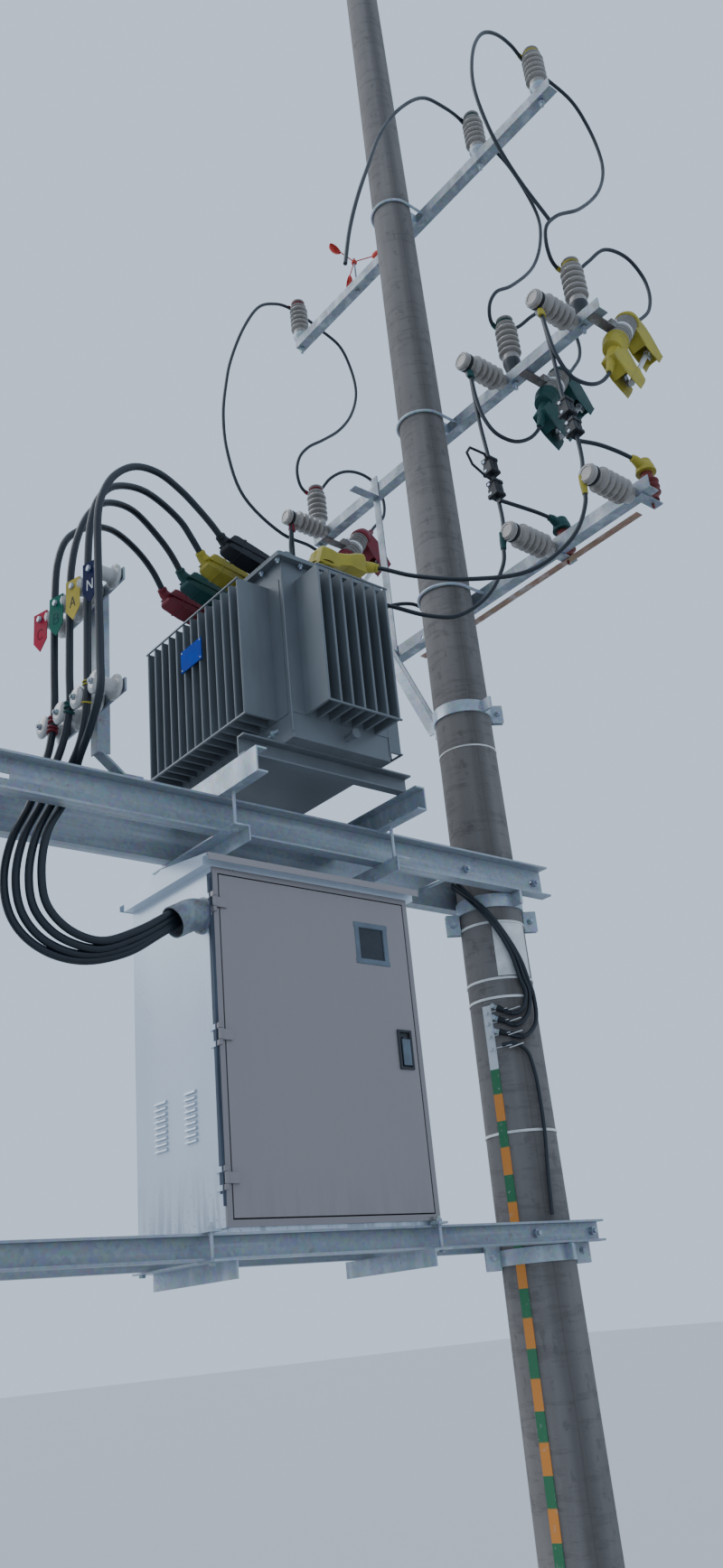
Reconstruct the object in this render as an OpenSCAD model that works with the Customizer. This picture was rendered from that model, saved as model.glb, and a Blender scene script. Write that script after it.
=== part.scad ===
// Pole mounted transformer between two round concrete poles.
// Millimetres. The origin is the middle of the right pole's foot.
// X runs from the left pole to the right pole, Y to the back, Z up.

/* [Poles] */
// Height of a pole above the ground
pole_height = 10100; // [9800:50:10600]
// Diameter of a pole at its top
pole_top_diameter = 190; // [180:5:200]
// Height over which a pole grows by one millimetre in diameter
pole_taper = 75; // [70:1:85]
// Distance between the two poles
pole_spacing = 2640; // [2500:20:2760]

/* [Upper beams] */
// Clear height between the cabinet's roof and the clamp angles above it
roof_clearance = 7; // [2:1:60]
// Height of the upper channel section
upper_beam_height = 140; // [120:5:150]
// Width of the upper channel's flanges
upper_beam_flange = 58; // [50:1:66]
// Thickness of the steel of both beams
beam_thickness = 7; // [5:1:9]
// Length of a beam past the pole's centre
beam_overhang = 205; // [190:5:260]

/* [Lower beams] */
// Top of the lower beams above the ground
lower_beam_top = 1800; // [1770:5:1812]
// Height of the lower channel section
lower_beam_height = 82; // [70:2:90]
// Width of the lower channel's flanges
lower_beam_flange = 44; // [38:1:50]

/* [Transformer seat] */
// Height of the cross channels on the upper beams
cross_channel_height = 100; // [90:2:104]
// Width of a cross channel's flanges
cross_channel_flange = 48; // [40:1:52]
// Length of a cross channel
cross_channel_length = 900; // [820:10:1000]
// Height of the base rails under the tank
rail_height = 82; // [76:2:90]
// Length of a base rail
rail_length = 815; // [800:5:840]
// Distance from one base rail's front to the other's
rail_span = 760; // [720:10:800]
// Leg of the clamp angles below the beams
clamp_leg = 60; // [54:1:64]

/* [Tank] */
// Middle of the tank along the beams, from the right pole
tank_from_pole = 1147; // [1140:1:1150]
// Length of the tank along the beams
tank_length = 475; // [470:5:490]
// Depth of the tank across the beams
tank_depth = 880; // [860:10:900]
// Height of the tank under its cover
tank_height = 785; // [775:5:800]
// Number of fins on each of the two wide sides
wide_fin_count = 13; // [9:1:13]
// Number of fins on each of the two narrow sides
narrow_fin_count = 7; // [5:1:7]
// Distance between neighbouring fins
fin_pitch = 57; // [55:1:58]
// Distance that the fins stand out
fin_depth = 150; // [130:5:160]
// Thickness of one fin
fin_thickness = 11; // [9:1:14]
// Height of the fins
fin_height = 596; // [560:4:610]
// Distance that the cover stands out past the tank
cover_lip = 31; // [28:1:36]

/* [Cabinet] */
// Width of the cabinet
cabinet_width = 921; // [900:5:960]
// Depth of the cabinet
cabinet_depth = 567; // [540:5:590]
// Height of the cabinet without its roof
cabinet_height = 1225; // [1200:5:1232]
// Wall thickness of the cabinet
cabinet_wall = 3; // [2:1:4]
// Width of the frame round the door
door_frame = 22; // [20:1:26]
// Thickness of the door
door_thickness = 26; // [22:1:30]
// Distance that the roof stands out
roof_overhang = 38; // [32:1:44]
// Rise of the roof from its eaves to its ridge
roof_rise = 42; // [20:1:60]
// Number of slots in one louvre column
louvre_count = 9; // [6:1:10]
// Diameter of the elbow that the cables enter
hood_diameter = 116; // [104:2:120]

/* [Arms] */
// Height of the top arm above the ground
top_arm_height = 7460; // [7400:10:7520]
// Height of the fuse arm above the ground
fuse_arm_height = 5880; // [5860:5:5900]
// Height of the arrester arm above the ground
arrester_arm_height = 4780; // [4760:5:4800]
// Leg of the angle steel of the arms
arm_leg = 65; // [60:1:70]
// Thickness of the angle steel
arm_thickness = 6; // [5:1:8]
// Length of the top arm and the fuse arm
arm_length = 2300; // [2290:10:2400]
// Distance from the pole to the arrester arm's front end
arrester_arm_front = 1200; // [1190:5:1240]
// Distance from the pole to the arrester arm's back end
arrester_arm_back = 600; // [590:5:640]

/* [Fuses] */
// Tilt of a fuse's porcelain from upright
fuse_tilt = 34.5; // [30:0.5:38]
// Length of a fuse's porcelain
fuse_porcelain = 250; // [245:1:260]
// Distance of the fuse tube from the porcelain
fuse_reach = 175; // [170:1:185]
// Diameter of the fuse tube
fuse_tube_diameter = 26; // [22:1:28]

/* [Low voltage rack] */
// Distance between neighbouring spools
spool_pitch = 130; // [120:1:140]
// Height of the upper spools above the upper beams
upper_spool_rise = 685; // [660:5:700]
// Height of the lower spools above the upper beams
lower_spool_rise = 235; // [220:5:250]

/* [Bird repeller] */
// Reach of a cup from the middle of the rotor
rotor_reach = 205; // [180:5:225]

/* [Hidden] */

// Round parts are drawn smooth above twelve sides
$fn = 48;

// Heights that follow from the sizes above
lower_deck = lower_beam_top;
roof_ridge = lower_deck + 15 + cabinet_height + 36 + roof_rise;
upper_deck = roof_ridge + roof_clearance + clamp_leg + upper_beam_height;
rail_bottom = upper_deck + cross_channel_height;
tank_bottom = rail_bottom + rail_height;
tank_top = tank_bottom + tank_height;
cover_top = tank_top + 30;

// Distances across the beams that follow from the pole at beam height
upper_web = pole_radius(upper_deck - upper_beam_height) + beam_thickness;
lower_web = pole_radius(lower_deck - lower_beam_height) + beam_thickness;
upper_toe = upper_web - beam_thickness + upper_beam_flange;
lower_toe = lower_web - beam_thickness + lower_beam_flange;
upper_tie = 275;
lower_tie = pole_radius(lower_deck) + 14;
upper_end = upper_toe + 92;
lower_end = lower_toe + 60;

// Cabinet corners
cabinet_left = -1611;
cabinet_right = cabinet_left + cabinet_width;
cabinet_front = -196;
cabinet_back = cabinet_front + cabinet_depth;
cabinet_bottom = lower_deck + 15;
cabinet_top = cabinet_bottom + cabinet_height;
eaves_height = 36;
hinge_x = cabinet_left - 2;
hinge_y = cabinet_front - 11;
hood_y = cabinet_front + 70;
right_clamp_bolt = cabinet_right - 28;

// Tank middle and fin heights
tank_x = -tank_from_pole;
seat_left = tank_x - 422;
seat_right = tank_x + 392;
fin_bottom = tank_bottom + 105;

// Arm positions: the upright leg stands against the pole's X side
arm_x = pole_radius(arrester_arm_height);
pin_x = arm_x + arm_leg / 2;
arm_end = arm_length / 2;
top_pin_rise = 135;
fuse_pin_rise = 165;
top_pins = [90 - arm_end, 570 - arm_end, arm_end - 20];
fuse_pins = [130 - arm_end, 600 - arm_end, arm_end - 25];
fuse_sides = [161 - arm_end, 658 - arm_end, arm_end - 115];
fuse_places = [60 - arm_end, 520 - arm_end, arm_end - 90];
arrester_sides = [110 - arrester_arm_front, 600 - arrester_arm_front, 330];
arrester_places = [70 - arrester_arm_front, 590 - arrester_arm_front, 330];
rotor_y = arm_end - 614;
stay_y = 550;
stay_hoop = 4100;

// Earthing strip on the right pole, seen from above as an angle
strip_angle = 195;

// Leads, as points of their routes
lv_cable = 28;
hv_lead = 20;
red_cable = [[-1510, 236, 4474], [-1580, 208, 4545], [-1680, 166, 4590],
  [-1820, 108, 4600], [-1944, 56, 4543], [-2034, 19, 4462], [-2098, -8, 4372],
  [-2135, -22, 4250], [-2146, -27, 4100], [-2146, -27, 3800], [-2144, -27, 3600],
  [-2160, -22, 3450], [-2195, -18, 3330], [-2225, -16, 3230], [-2290, -20, 3085],
  [-2318, -30, 2936], [-2300, -45, 2813], [-2250, -60, 2737], [-2164, -75, 2686],
  [-2050, -90, 2672], [-1900, -105, 2715], [-1790, -120, 2785], [-1700, -126, 2845]];
green_cable = [[-1515, 79, 4479], [-1580, 55, 4540], [-1652, 28, 4580],
  [-1810, -31, 4622], [-1962, -88, 4562], [-2062, -125, 4437], [-2117, -146, 4293],
  [-2143, -156, 4158], [-2150, -158, 4039], [-2151, -158, 3704], [-2150, -158, 3560],
  [-2155, -120, 3440], [-2175, -75, 3330], [-2200, -60, 3230], [-2262, -55, 3090],
  [-2290, -60, 2940], [-2272, -70, 2820], [-2215, -80, 2742], [-2125, -90, 2698],
  [-2030, -100, 2692], [-1895, -112, 2735], [-1780, -122, 2805], [-1700, -128, 2862]];
yellow_cable = [[-1510, -74, 4480], [-1570, -94, 4535], [-1637, -116, 4583],
  [-1836, -182, 4606], [-2010, -240, 4522], [-2093, -268, 4408], [-2126, -279, 4303],
  [-2139, -283, 4201], [-2146, -285, 3968], [-2147, -285, 3643], [-2147, -284, 3540],
  [-2135, -220, 3420], [-2130, -125, 3345], [-2172, -95, 3230], [-2232, -90, 3095],
  [-2258, -90, 2945], [-2240, -95, 2828], [-2175, -102, 2752], [-2085, -110, 2715],
  [-2010, -116, 2712], [-1890, -124, 2758], [-1775, -130, 2825], [-1700, -132, 2878]];
black_cable = [[-1510, -229, 4471], [-1570, -248, 4505], [-1645, -269, 4540],
  [-1740, -297, 4572], [-1863, -332, 4585], [-1990, -369, 4538], [-2098, -400, 4428],
  [-2156, -417, 4309], [-2176, -423, 4216], [-2177, -423, 3990], [-2170, -421, 3620],
  [-2172, -422, 3500], [-2145, -300, 3420], [-2115, -160, 3366], [-2110, -120, 3320],
  [-2145, -116, 3220], [-2205, -116, 3100], [-2226, -116, 2950], [-2205, -118, 2836],
  [-2130, -122, 2762], [-2020, -128, 2734], [-1890, -134, 2780], [-1700, -138, 2894]];

red_upper = [[40, 1080, 5800], [-150, 1100, 5830], [-391, 1130, 6022], [-490, 1130, 6300],
  [-506, 1130, 6577], [-470, 1130, 6850], [-428, 1130, 7043], [-300, 1130, 7400],
  [-148, 1145, 7670], [0, 1165, 7790], [90, 1180, 7838], [163, 1182, 7842],
  [240, 1172, 7818], [365, 1150, 7745], [502, 1130, 7659], [582, 1130, 7503],
  [608, 1130, 7304], [543, 1130, 7082], [420, 1130, 6892], [267, 1130, 6739],
  [140, 1132, 6625], [66, 1140, 6515], [50, 1155, 6405], [90, 1172, 6315],
  [163, 1176, 6292], [223, 1165, 6334], [285, 1120, 6430], [385, 1090, 6508],
  [496, 1070, 6530], [600, 1060, 6500], [672, 1060, 6390], [660, 1060, 6250],
  [560, 1060, 6120], [496, 1060, 6024]];
green_upper = [[-977, -580, 6005], [-925, -580, 6250], [-848, -580, 6514],
  [-740, -580, 6820], [-626, -580, 7121], [-450, -580, 7450], [-219, -575, 7725],
  [-40, -560, 7800], [90, -538, 7848], [163, -530, 7842], [248, -540, 7806],
  [417, -565, 7690], [538, -580, 7514], [618, -580, 7344], [598, -580, 7150],
  [476, -580, 6863], [235, -580, 6572], [104, -572, 6456], [70, -545, 6370],
  [100, -512, 6306], [163, -499, 6292], [225, -508, 6310], [290, -540, 6345],
  [362, -590, 6420], [500, -622, 6530], [630, -628, 6500], [680, -630, 6374],
  [665, -630, 6260], [580, -630, 6130], [496, -630, 6024]];
yellow_upper = [[-30, -1085, 6420], [-177, -1060, 6622], [-280, -1060, 6750],
  [-349, -1060, 6884], [-400, -1060, 7080], [-398, -1060, 7245], [-332, -1060, 7507],
  [-230, -1060, 7690], [-114, -1055, 7780], [40, -1030, 7846], [163, -1010, 7842],
  [290, -1030, 7790], [462, -1060, 7692], [569, -1060, 7565], [624, -1060, 7385],
  [616, -1060, 7236], [521, -1060, 7017], [288, -1060, 6727], [91, -1048, 6562],
  [7, -1030, 6444], [12, -1010, 6362], [60, -985, 6306], [110, -972, 6292],
  [163, -969, 6292], [240, -978, 6318], [335, -1015, 6420], [460, -1055, 6550],
  [620, -1075, 6570], [720, -1082, 6490], [735, -1088, 6370], [690, -1090, 6230],
  [600, -1090, 6120], [496, -1090, 6028]];

yellow_lower = [[207, -1090, 5610], [196, -1090, 5560], [126, -1075, 5470], [40, -1060, 5426],
  [-50, -1040, 5440], [-110, -1020, 5560], [-122, -1006, 5700], [-122, -992, 5855],
  [-112, -1003, 5547], [-116, -1016, 5289], [-122, -1048, 5090], [-124, -1055, 4918],
  [-150, -1055, 4790], [-158, -1050, 4667], [-209, -985, 4506], [-327, -828, 4389],
  [-480, -624, 4408], [-632, -421, 4488], [-730, -290, 4570], [-785, -258, 4555]];
green_lower = [[207, -630, 5610], [196, -630, 5560], [120, -610, 5460], [30, -580, 5420],
  [-60, -550, 5450], [-104, -520, 5560], [-118, -505, 5700], [-120, -498, 5860],
  [-111, -496, 5566], [-117, -524, 5283], [-118, -540, 5050], [-130, -556, 4880],
  [-160, -562, 4760], [-177, -556, 4633], [-247, -489, 4471], [-351, -389, 4389],
  [-447, -298, 4408], [-578, -174, 4489], [-730, -20, 4572], [-785, -4, 4555]];
red_lower = [[207, 1060, 5610], [196, 1060, 5560], [120, 1065, 5460], [20, 1065, 5420],
  [-70, 1060, 5460], [-112, 1050, 5600], [-122, 1042, 5760], [-124, 1036, 5900],
  [-140, 1035, 5780], [-160, 1020, 5640], [-190, 900, 5300], [-180, 600, 4950],
  [-150, 378, 4830], [-140, 370, 4740], [-200, 340, 4640], [-350, 310, 4560],
  [-550, 280, 4540], [-730, 255, 4568], [-785, 251, 4555]];
yellow_branch = [[-118, -1051, 5026], [-11, -1080, 5032], [95, -1109, 5016], [175, -1128, 4996]];
green_branch = [[-130, -556, 5014], [19, -584, 5007], [100, -600, 5000], [175, -610, 4992]];
red_branch = [[-170, 560, 4910], [20, 420, 5010], [110, 350, 5010], [175, 332, 4992]];

// Low voltage rack
rack_x = -2062;
spool_x = -2112;
spool_rows = [upper_deck + lower_spool_rise, upper_deck + upper_spool_rise];
rack_y = -172;
spool_start = rack_y - 1.5 * spool_pitch;

// Terminal rows on the cover
lv_pitch = 155;
lv_x = tank_x - 150;
lv_axis = cover_top + 130;
hv_pitch = 250;
hv_x = tank_x + 135;
hv_axis = cover_top + 230;

function pole_radius(z) = pole_top_diameter / 2 + (pole_height - z) / pole_taper / 2;

// Shared shapes

module rod(length, diameter) {
  cylinder(h = length, d = diameter);
}

module rod_x(length, diameter) {
  rotate([0, 90, 0])
    cylinder(h = length, d = diameter);
}

module rod_y(length, diameter) {
  rotate([-90, 0, 0])
    cylinder(h = length, d = diameter);
}

module hex_nut(height, flats) {
  cylinder(h = height, d = flats / cos(30), $fn = 6);
}

// Bolt standing up from a head at z = 0, with a nut on top
module bolt_up(length, diameter) {
  rod(length, diameter);
  hex_nut(diameter * 0.7, diameter * 1.6);
  translate([0, 0, length - diameter * 1.3])
    hex_nut(diameter * 0.8, diameter * 1.6);
}

// Flat plate with round upright corners
module rounded_plate(width, depth, height, corner) {
  linear_extrude(height) {
    square([width - 2 * corner, depth], center = true);
    square([width, depth - 2 * corner], center = true);
    for (x = [-1, 1], y = [-1, 1])
      translate([x * (width / 2 - corner), y * (depth / 2 - corner)])
        circle(r = corner);
  }
}

// Channel section along X: back at y = 0, flanges towards -Y, z from 0
module channel_x(length, height, flange, steel) {
  rotate([90, 0, 90])
    linear_extrude(length)
      difference() {
        translate([-flange, 0])
          square([flange, height]);
        translate([-flange - steel, steel * 1.15])
          square([flange, height - steel * 2.3]);
      }
}

// Channel section along Y: back at x = 0, flanges towards +X, z from 0
module channel_y(length, height, flange, steel) {
  translate([0, length, 0])
    rotate([90, 0, 0])
      linear_extrude(length)
        difference() {
          square([flange, height]);
          translate([steel, steel * 1.15])
            square([flange, height - steel * 2.3]);
        }
}

// Angle section along Y: corner at the origin, legs towards +X and +Z
module angle_y(length, across, up, steel) {
  translate([0, length, 0])
    rotate([90, 0, 0])
      linear_extrude(length) {
        square([across, steel]);
        square([steel, up]);
      }
}

// Flat ring round a pole, made of a band and two bolted ears along Y
module pole_band(z, height, reach) {
  r = pole_radius(z);
  translate([0, 0, z])
    difference() {
      union() {
        rod(height, 2 * (r + 8));
        translate([-7, -r - reach, 0])
          cube([14, 2 * (r + reach), height]);
      }
      translate([0, 0, -1])
        rod(height + 2, 2 * r);
    }
}

// Poles

module right_pole() {
  color("#a29a8e")
    cylinder(h = pole_height, r1 = pole_radius(0), r2 = pole_radius(pole_height), $fn = 96);
}

module left_pole() {
  color("#a29a8e")
    translate([-pole_spacing, 0, 0])
      cylinder(h = pole_height, r1 = pole_radius(0), r2 = pole_radius(pole_height), $fn = 96);
}

// Beams

module beam_pair(z, web, height, flange) {
  length = pole_spacing + 2 * beam_overhang;
  for (side = [0, 1])
    mirror([0, side, 0])
      translate([-pole_spacing - beam_overhang, -web + beam_thickness, z - height])
        channel_x(length, height, flange, beam_thickness);
}

module upper_beams() {
  color("#b9c0c6")
    difference() {
      beam_pair(upper_deck, upper_web, upper_beam_height, upper_beam_flange);
      for (x = [-pole_spacing + 260, pole_radius(upper_deck) + 14])
        translate([x - 22, -upper_toe - 1, upper_deck - upper_beam_height / 2 - 10])
          cube([44, 2 * upper_toe + 2, 20]);
      tie_holes(upper_deck - upper_beam_height / 2, upper_web, upper_tie);
    }
}

module lower_beams() {
  color("#b9c0c6")
    difference() {
      beam_pair(lower_deck, lower_web, lower_beam_height, lower_beam_flange);
      tie_holes(lower_deck - lower_beam_height / 2, lower_web, lower_tie);
      translate([right_clamp_bolt, lower_toe - 22, lower_deck - lower_beam_height - 1])
        rod(12, 15);
    }
}

// Tie bolts through both beams, hoops under the beams and straps of the arms
module pole_clamps() {
  color("#aab2b8")
    for (pole = [0, 1])
      translate([-pole * pole_spacing, 0, 0]) {
        tie_bolts(upper_deck - upper_beam_height / 2, upper_web, upper_tie, pole);
        tie_bolts(lower_deck - lower_beam_height / 2, lower_web, lower_tie, pole);
        pole_band(upper_deck - upper_beam_height - 62, 60, 60);
        pole_band(lower_deck - lower_beam_height - 62, 60, 45);
      }
  color("#aab2b8") {
    pole_band(stay_hoop, 60, 60);
    translate(hoop_ear(stay_hoop) - [38, 0, 0])
      rod_x(66, 12);
    translate(hoop_ear(stay_hoop) + [12, 0, 0])
      rotate([0, 90, 0])
        hex_nut(10, 20);
    for (z = [top_arm_height, fuse_arm_height, arrester_arm_height])
      arm_strap(z + arm_leg / 2);
    for (z = [top_arm_height, fuse_arm_height])
      arm_saddle(z);
  }
}

// Places of the two tie bolts along X, from a pole's middle
function tie_places(z, inner, pole) =
  let (near = pole_radius(z) + 14) pole == 0 ? [-inner, near] : [-near, near];

// Holes through both webs for the tie bolts at the poles
module tie_holes(z, web, inner) {
  for (pole = [0, 1], x = tie_places(z, inner, pole))
    translate([x - pole * pole_spacing, -web - 1, z])
      rod_y(2 * web + 2, 19);
}

module tie_bolts(z, web, inner, pole) {
  for (x = tie_places(z, inner, pole))
    translate([x, -web - 28, z]) {
      rod_y(2 * web + 56, 18);
      translate([0, 13, 0])
        rotate([-90, 0, 0])
          hex_nut(15, 28);
      translate([0, 2 * web + 28, 0])
        rotate([-90, 0, 0])
          hex_nut(15, 28);
    }
}

// Transformer seat

module cross_channels() {
  y = -cross_channel_length / 2;
  color("#c6ccd0")
    difference() {
      union() {
        translate([seat_left, y, upper_deck])
          channel_y(cross_channel_length, cross_channel_height, cross_channel_flange, 6);
        translate([seat_right, y, upper_deck])
          mirror([1, 0, 0])
            channel_y(cross_channel_length, cross_channel_height, cross_channel_flange, 6);
      }
      for (x = [seat_left + 31, seat_right - 20], side = [-1, 1])
        translate([x, side * (upper_end - 40), upper_deck - 1])
          rod(10, 15);
    }
}

// Angle below a beam pair, leg down at x = 0, with bolts [y, height] up through it
module clamp_angle(x, z, y0, y1, across, bolt_from_corner, bolts) {
  translate([x, 0, z]) {
    difference() {
      translate([0, y0, 0])
        mirror([0, 0, 1])
          angle_y(y1 - y0, across, clamp_leg, 6);
      for (bolt = bolts)
        translate([bolt_from_corner, bolt[0], -7])
          rod(8, 15);
    }
    for (bolt = bolts)
      translate([bolt_from_corner, bolt[0], -16])
        clamp_bolt(bolt[1] + 16);
  }
}

// Bolt with its head under a clamp angle and its nut on top
module clamp_bolt(length) {
  rod(length, 14);
  hex_nut(10, 22);
  translate([0, 0, length - 21])
    hex_nut(11, 22);
}

// A clamp bolt's nut sits on the metal that it holds, this far above the beam
seat_grip = 6.9 + 21;
clip_grip = 8 + 21;

module clamp_angles() {
  upper = upper_deck - upper_beam_height;
  lower = lower_deck - lower_beam_height;
  seat_bolts = [for (side = [-1, 1]) [side * (upper_end - 40), upper_beam_height + seat_grip]];
  left_bolts = [for (side = [-1, 1]) [side * (lower_end - 40), lower_beam_height + clip_grip]];
  right_bolts = [[40 - lower_end, lower_beam_height + clip_grip],
                 [lower_toe - 22, beam_thickness * 1.15 + 21]];
  color("#c2c8cc") {
    translate([seat_left + 69, 0, 0])
      mirror([1, 0, 0])
        clamp_angle(0, upper, -upper_end, upper_end, 68, 38, seat_bolts);
    clamp_angle(seat_right - 40, upper, -upper_end, upper_end, 68, 20, seat_bolts);
    translate([cabinet_left - 6, 0, 0])
      mirror([1, 0, 0])
        clamp_angle(0, lower, -lower_end, lower_end, 86, 70, left_bolts);
    clamp_angle(cabinet_right - 98, lower, -lower_end, lower_end, 86, 70, right_bolts);
    for (side = [0, 1])
      mirror([0, side, 0])
        clip_plate(cabinet_left - 76);
    clip_plate(right_clamp_bolt);
  }
}

// Clip on a lower beam's top flange, held down by a clamp bolt
module clip_plate(x) {
  difference() {
    translate([x - 22, -lower_end + 16, lower_deck])
      cube([44, cabinet_front + 7 + lower_end - 16, 8]);
    translate([x, -lower_end + 40, lower_deck - 1])
      rod(10, 15);
  }
}

module base_rails() {
  color("#8f959a")
    for (side = [0, 1])
      mirror([0, side, 0])
        translate([tank_x - 15 - rail_length / 2, -rail_span / 2 + 43, rail_bottom])
          channel_x(rail_length, rail_height, 43, 6);
}

// Tank

module tank() {
  color("#5d6468") {
    translate([tank_x, 0, tank_bottom])
      rounded_plate(tank_length, tank_depth, tank_height, 5);
    translate([tank_x, 0, tank_top - 2])
      difference() {
        rounded_plate(tank_length + 2 * cover_lip, tank_depth + 2 * cover_lip, 12, 12);
        translate([0, 0, -1])
          cover_bolt_places()
            rod(14, 11);
      }
    translate([tank_x + 20, -tank_depth / 2 - 60, tank_bottom + 50]) {
      rod_y(70, 26);
      rod_y(14, 40);
    }
    translate([tank_x - tank_length / 2 - 14, -305, tank_bottom + 74])
      rod_x(20, 24);
  }
}

// Children at each bolt of the cover, from the middle of the tank
module cover_bolt_places() {
  for (side = [-1, 1]) {
    for (i = [-4:4])
      translate([side * (tank_length / 2 + 16), i * (tank_depth / 2 + 2) / 4, 0])
        children();
    for (i = [-1.5:1.5])
      translate([i * 100, side * (tank_depth / 2 + 14), 0])
        children();
  }
}

// Row of fins standing out towards -Y from a panel, middle at x = 0
module fin_row(count, panel) {
  tip = fin_thickness / 2;
  translate([-panel / 2, -3, 0])
    cube([panel, 3, fin_height]);
  for (i = [0:count - 1])
    translate([(i - (count - 1) / 2) * fin_pitch, 0, 0])
      linear_extrude(fin_height) {
        translate([-tip, -fin_depth + tip])
          square([fin_thickness, fin_depth - tip]);
        translate([0, -fin_depth + tip])
          circle(r = tip, $fn = 24);
      }
  translate([-(count - 1) * fin_pitch / 2 - 10, -fin_depth - 3, -4])
    cube([(count - 1) * fin_pitch + 20, 8, 7]);
}

module cooling_fins() {
  color("#565d61")
    translate([tank_x, 0, fin_bottom])
      for (turn = [0, 180])
        rotate([0, 0, turn]) {
          translate([0, -tank_depth / 2, 0])
            fin_row(narrow_fin_count, tank_length + 6);
          rotate([0, 0, -90])
            translate([0, -tank_length / 2, 0])
              fin_row(wide_fin_count, tank_depth - 40);
        }
}

module tank_cover() {
  color("#60676b")
    translate([tank_x, 0, tank_top + 10]) {
      rounded_plate(tank_length + 2 * cover_lip, tank_depth + 2 * cover_lip, 8, 12);
      rounded_plate(tank_length - 30, tank_depth - 30, 20, 40);
      translate([0, 0, -32])
        cover_bolt_places()
          cover_bolt();
      for (side = [-1, 1])
        translate([side * 150, side * 380, 18])
          lifting_eye();
      translate([60, -330, 18])
        filler_cap();
    }
}

// Bolt of the cover, with its nut below and its head on top
module cover_bolt() {
  rod(44, 10);
  translate([0, 0, 10])
    hex_nut(10, 18);
  translate([0, 0, 39])
    hex_nut(7, 18);
}

module lifting_eye() {
  difference() {
    union() {
      translate([-35, -5, 0])
        cube([70, 10, 40]);
      translate([0, -5, 40])
        rod_y(10, 70);
    }
    translate([0, -6, 40])
      rod_y(12, 32);
  }
}

module filler_cap() {
  rod(70, 46);
  translate([0, 0, 60])
    rod(18, 64);
}

// Terminals on the cover

module lv_bushings() {
  color("#8c5a48")
    for (i = [-1.5:1.5])
      translate([lv_x, i * lv_pitch, cover_top]) {
        rod(lv_axis - cover_top - 14, 52);
        rod(22, 84);
        translate([0, 0, 40])
          rod(12, 74);
        translate([0, 0, 64])
          rod(12, 66);
      }
}

module hv_bushings() {
  color("#8c5a48")
    for (i = [-1:1])
      translate([hv_x, i * hv_pitch, cover_top]) {
        rod(hv_axis - cover_top - 16, 62);
        rod(20, 110);
        for (z = [46, 90, 134, 178])
          translate([0, 0, z])
            cylinder(h = 16, d1 = 118, d2 = 76);
      }
}

// Bar along X with its four long edges cut off
module chamfered_bar(length, width, height, cut) {
  w = width / 2;
  h = height / 2;
  rotate([90, 0, 90])
    linear_extrude(length)
      polygon([[-w, cut - h], [cut - w, -h], [w - cut, -h], [w, cut - h],
               [w, h - cut], [w - cut, h], [cut - w, h], [-w, h - cut]]);
}

// Soft cover over one low voltage terminal, pointing towards -X
module lv_cover(y) {
  translate([lv_x, y, lv_axis]) {
    translate([0, 0, -60])
      rod(70, 92);
    translate([-165, 0, 0])
      chamfered_bar(215, 88, 92, 20);
    translate([-178, 0, 0])
      chamfered_bar(15, 68, 70, 16);
    translate([-220, 0, 0])
      rotate([0, 90, 0])
        cylinder(h = 50, d1 = 50, d2 = 60);
  }
}

// Soft cover over one high voltage terminal, pointing towards +X
module hv_cover(y) {
  translate([hv_x, y, hv_axis]) {
    translate([0, 0, -70])
      cylinder(h = 75, d1 = 110, d2 = 92);
    translate([-56, 0, 0])
      chamfered_bar(196, 88, 88, 20);
    translate([138, 0, 0])
      rotate([0, 90, 0])
        cylinder(h = 100, d1 = 74, d2 = 36);
  }
}

// Cap over an arrester's terminal
module arrester_cap(y) {
  translate([240, y, arrester_arm_height + 164]) {
    cylinder(h = 48, d1 = 92, d2 = 70);
    translate([0, 0, 40])
      scale([1, 1, 0.6])
        sphere(d = 66);
    translate([-70, 0, 26])
      rod_x(60, 40);
  }
}

// Frame of a fuse: x points out, z runs up along its porcelain
module at_fuse(y) {
  translate([300, y, fuse_arm_height - 92])
    rotate([0, fuse_tilt, 0])
      children();
}

// Side view of a boot, drawn in x and z and made wide along y
module side_block(points, half_width) {
  translate([0, half_width, 0])
    rotate([90, 0, 0])
      linear_extrude(2 * half_width)
        polygon(points);
}

// Hood over a fuse's upper contact, open below
module upper_boot() {
  top = fuse_porcelain;
  difference() {
    union() {
      translate([0, 0, top - 36])
        cylinder(h = 44, d1 = 126, d2 = 122);
      translate([0, 0, top + 8])
        cylinder(h = 44, d1 = 122, d2 = 88);
      side_block([[0, top - 36], [0, top + 66], [40, top + 74], [120, top + 62],
                  [fuse_reach + 65, top + 4], [fuse_reach + 65, top - 88],
                  [fuse_reach - 55, top - 88]], 42);
    }
    side_block([[52, top - 60], [52, top + 40], [118, top + 44],
                [fuse_reach + 66, top - 3], [fuse_reach + 66, top - 90],
                [fuse_reach - 55, top - 96]], 38);
    translate([0, 0, top - 50])
      rod(52, 118);
  }
}

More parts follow.
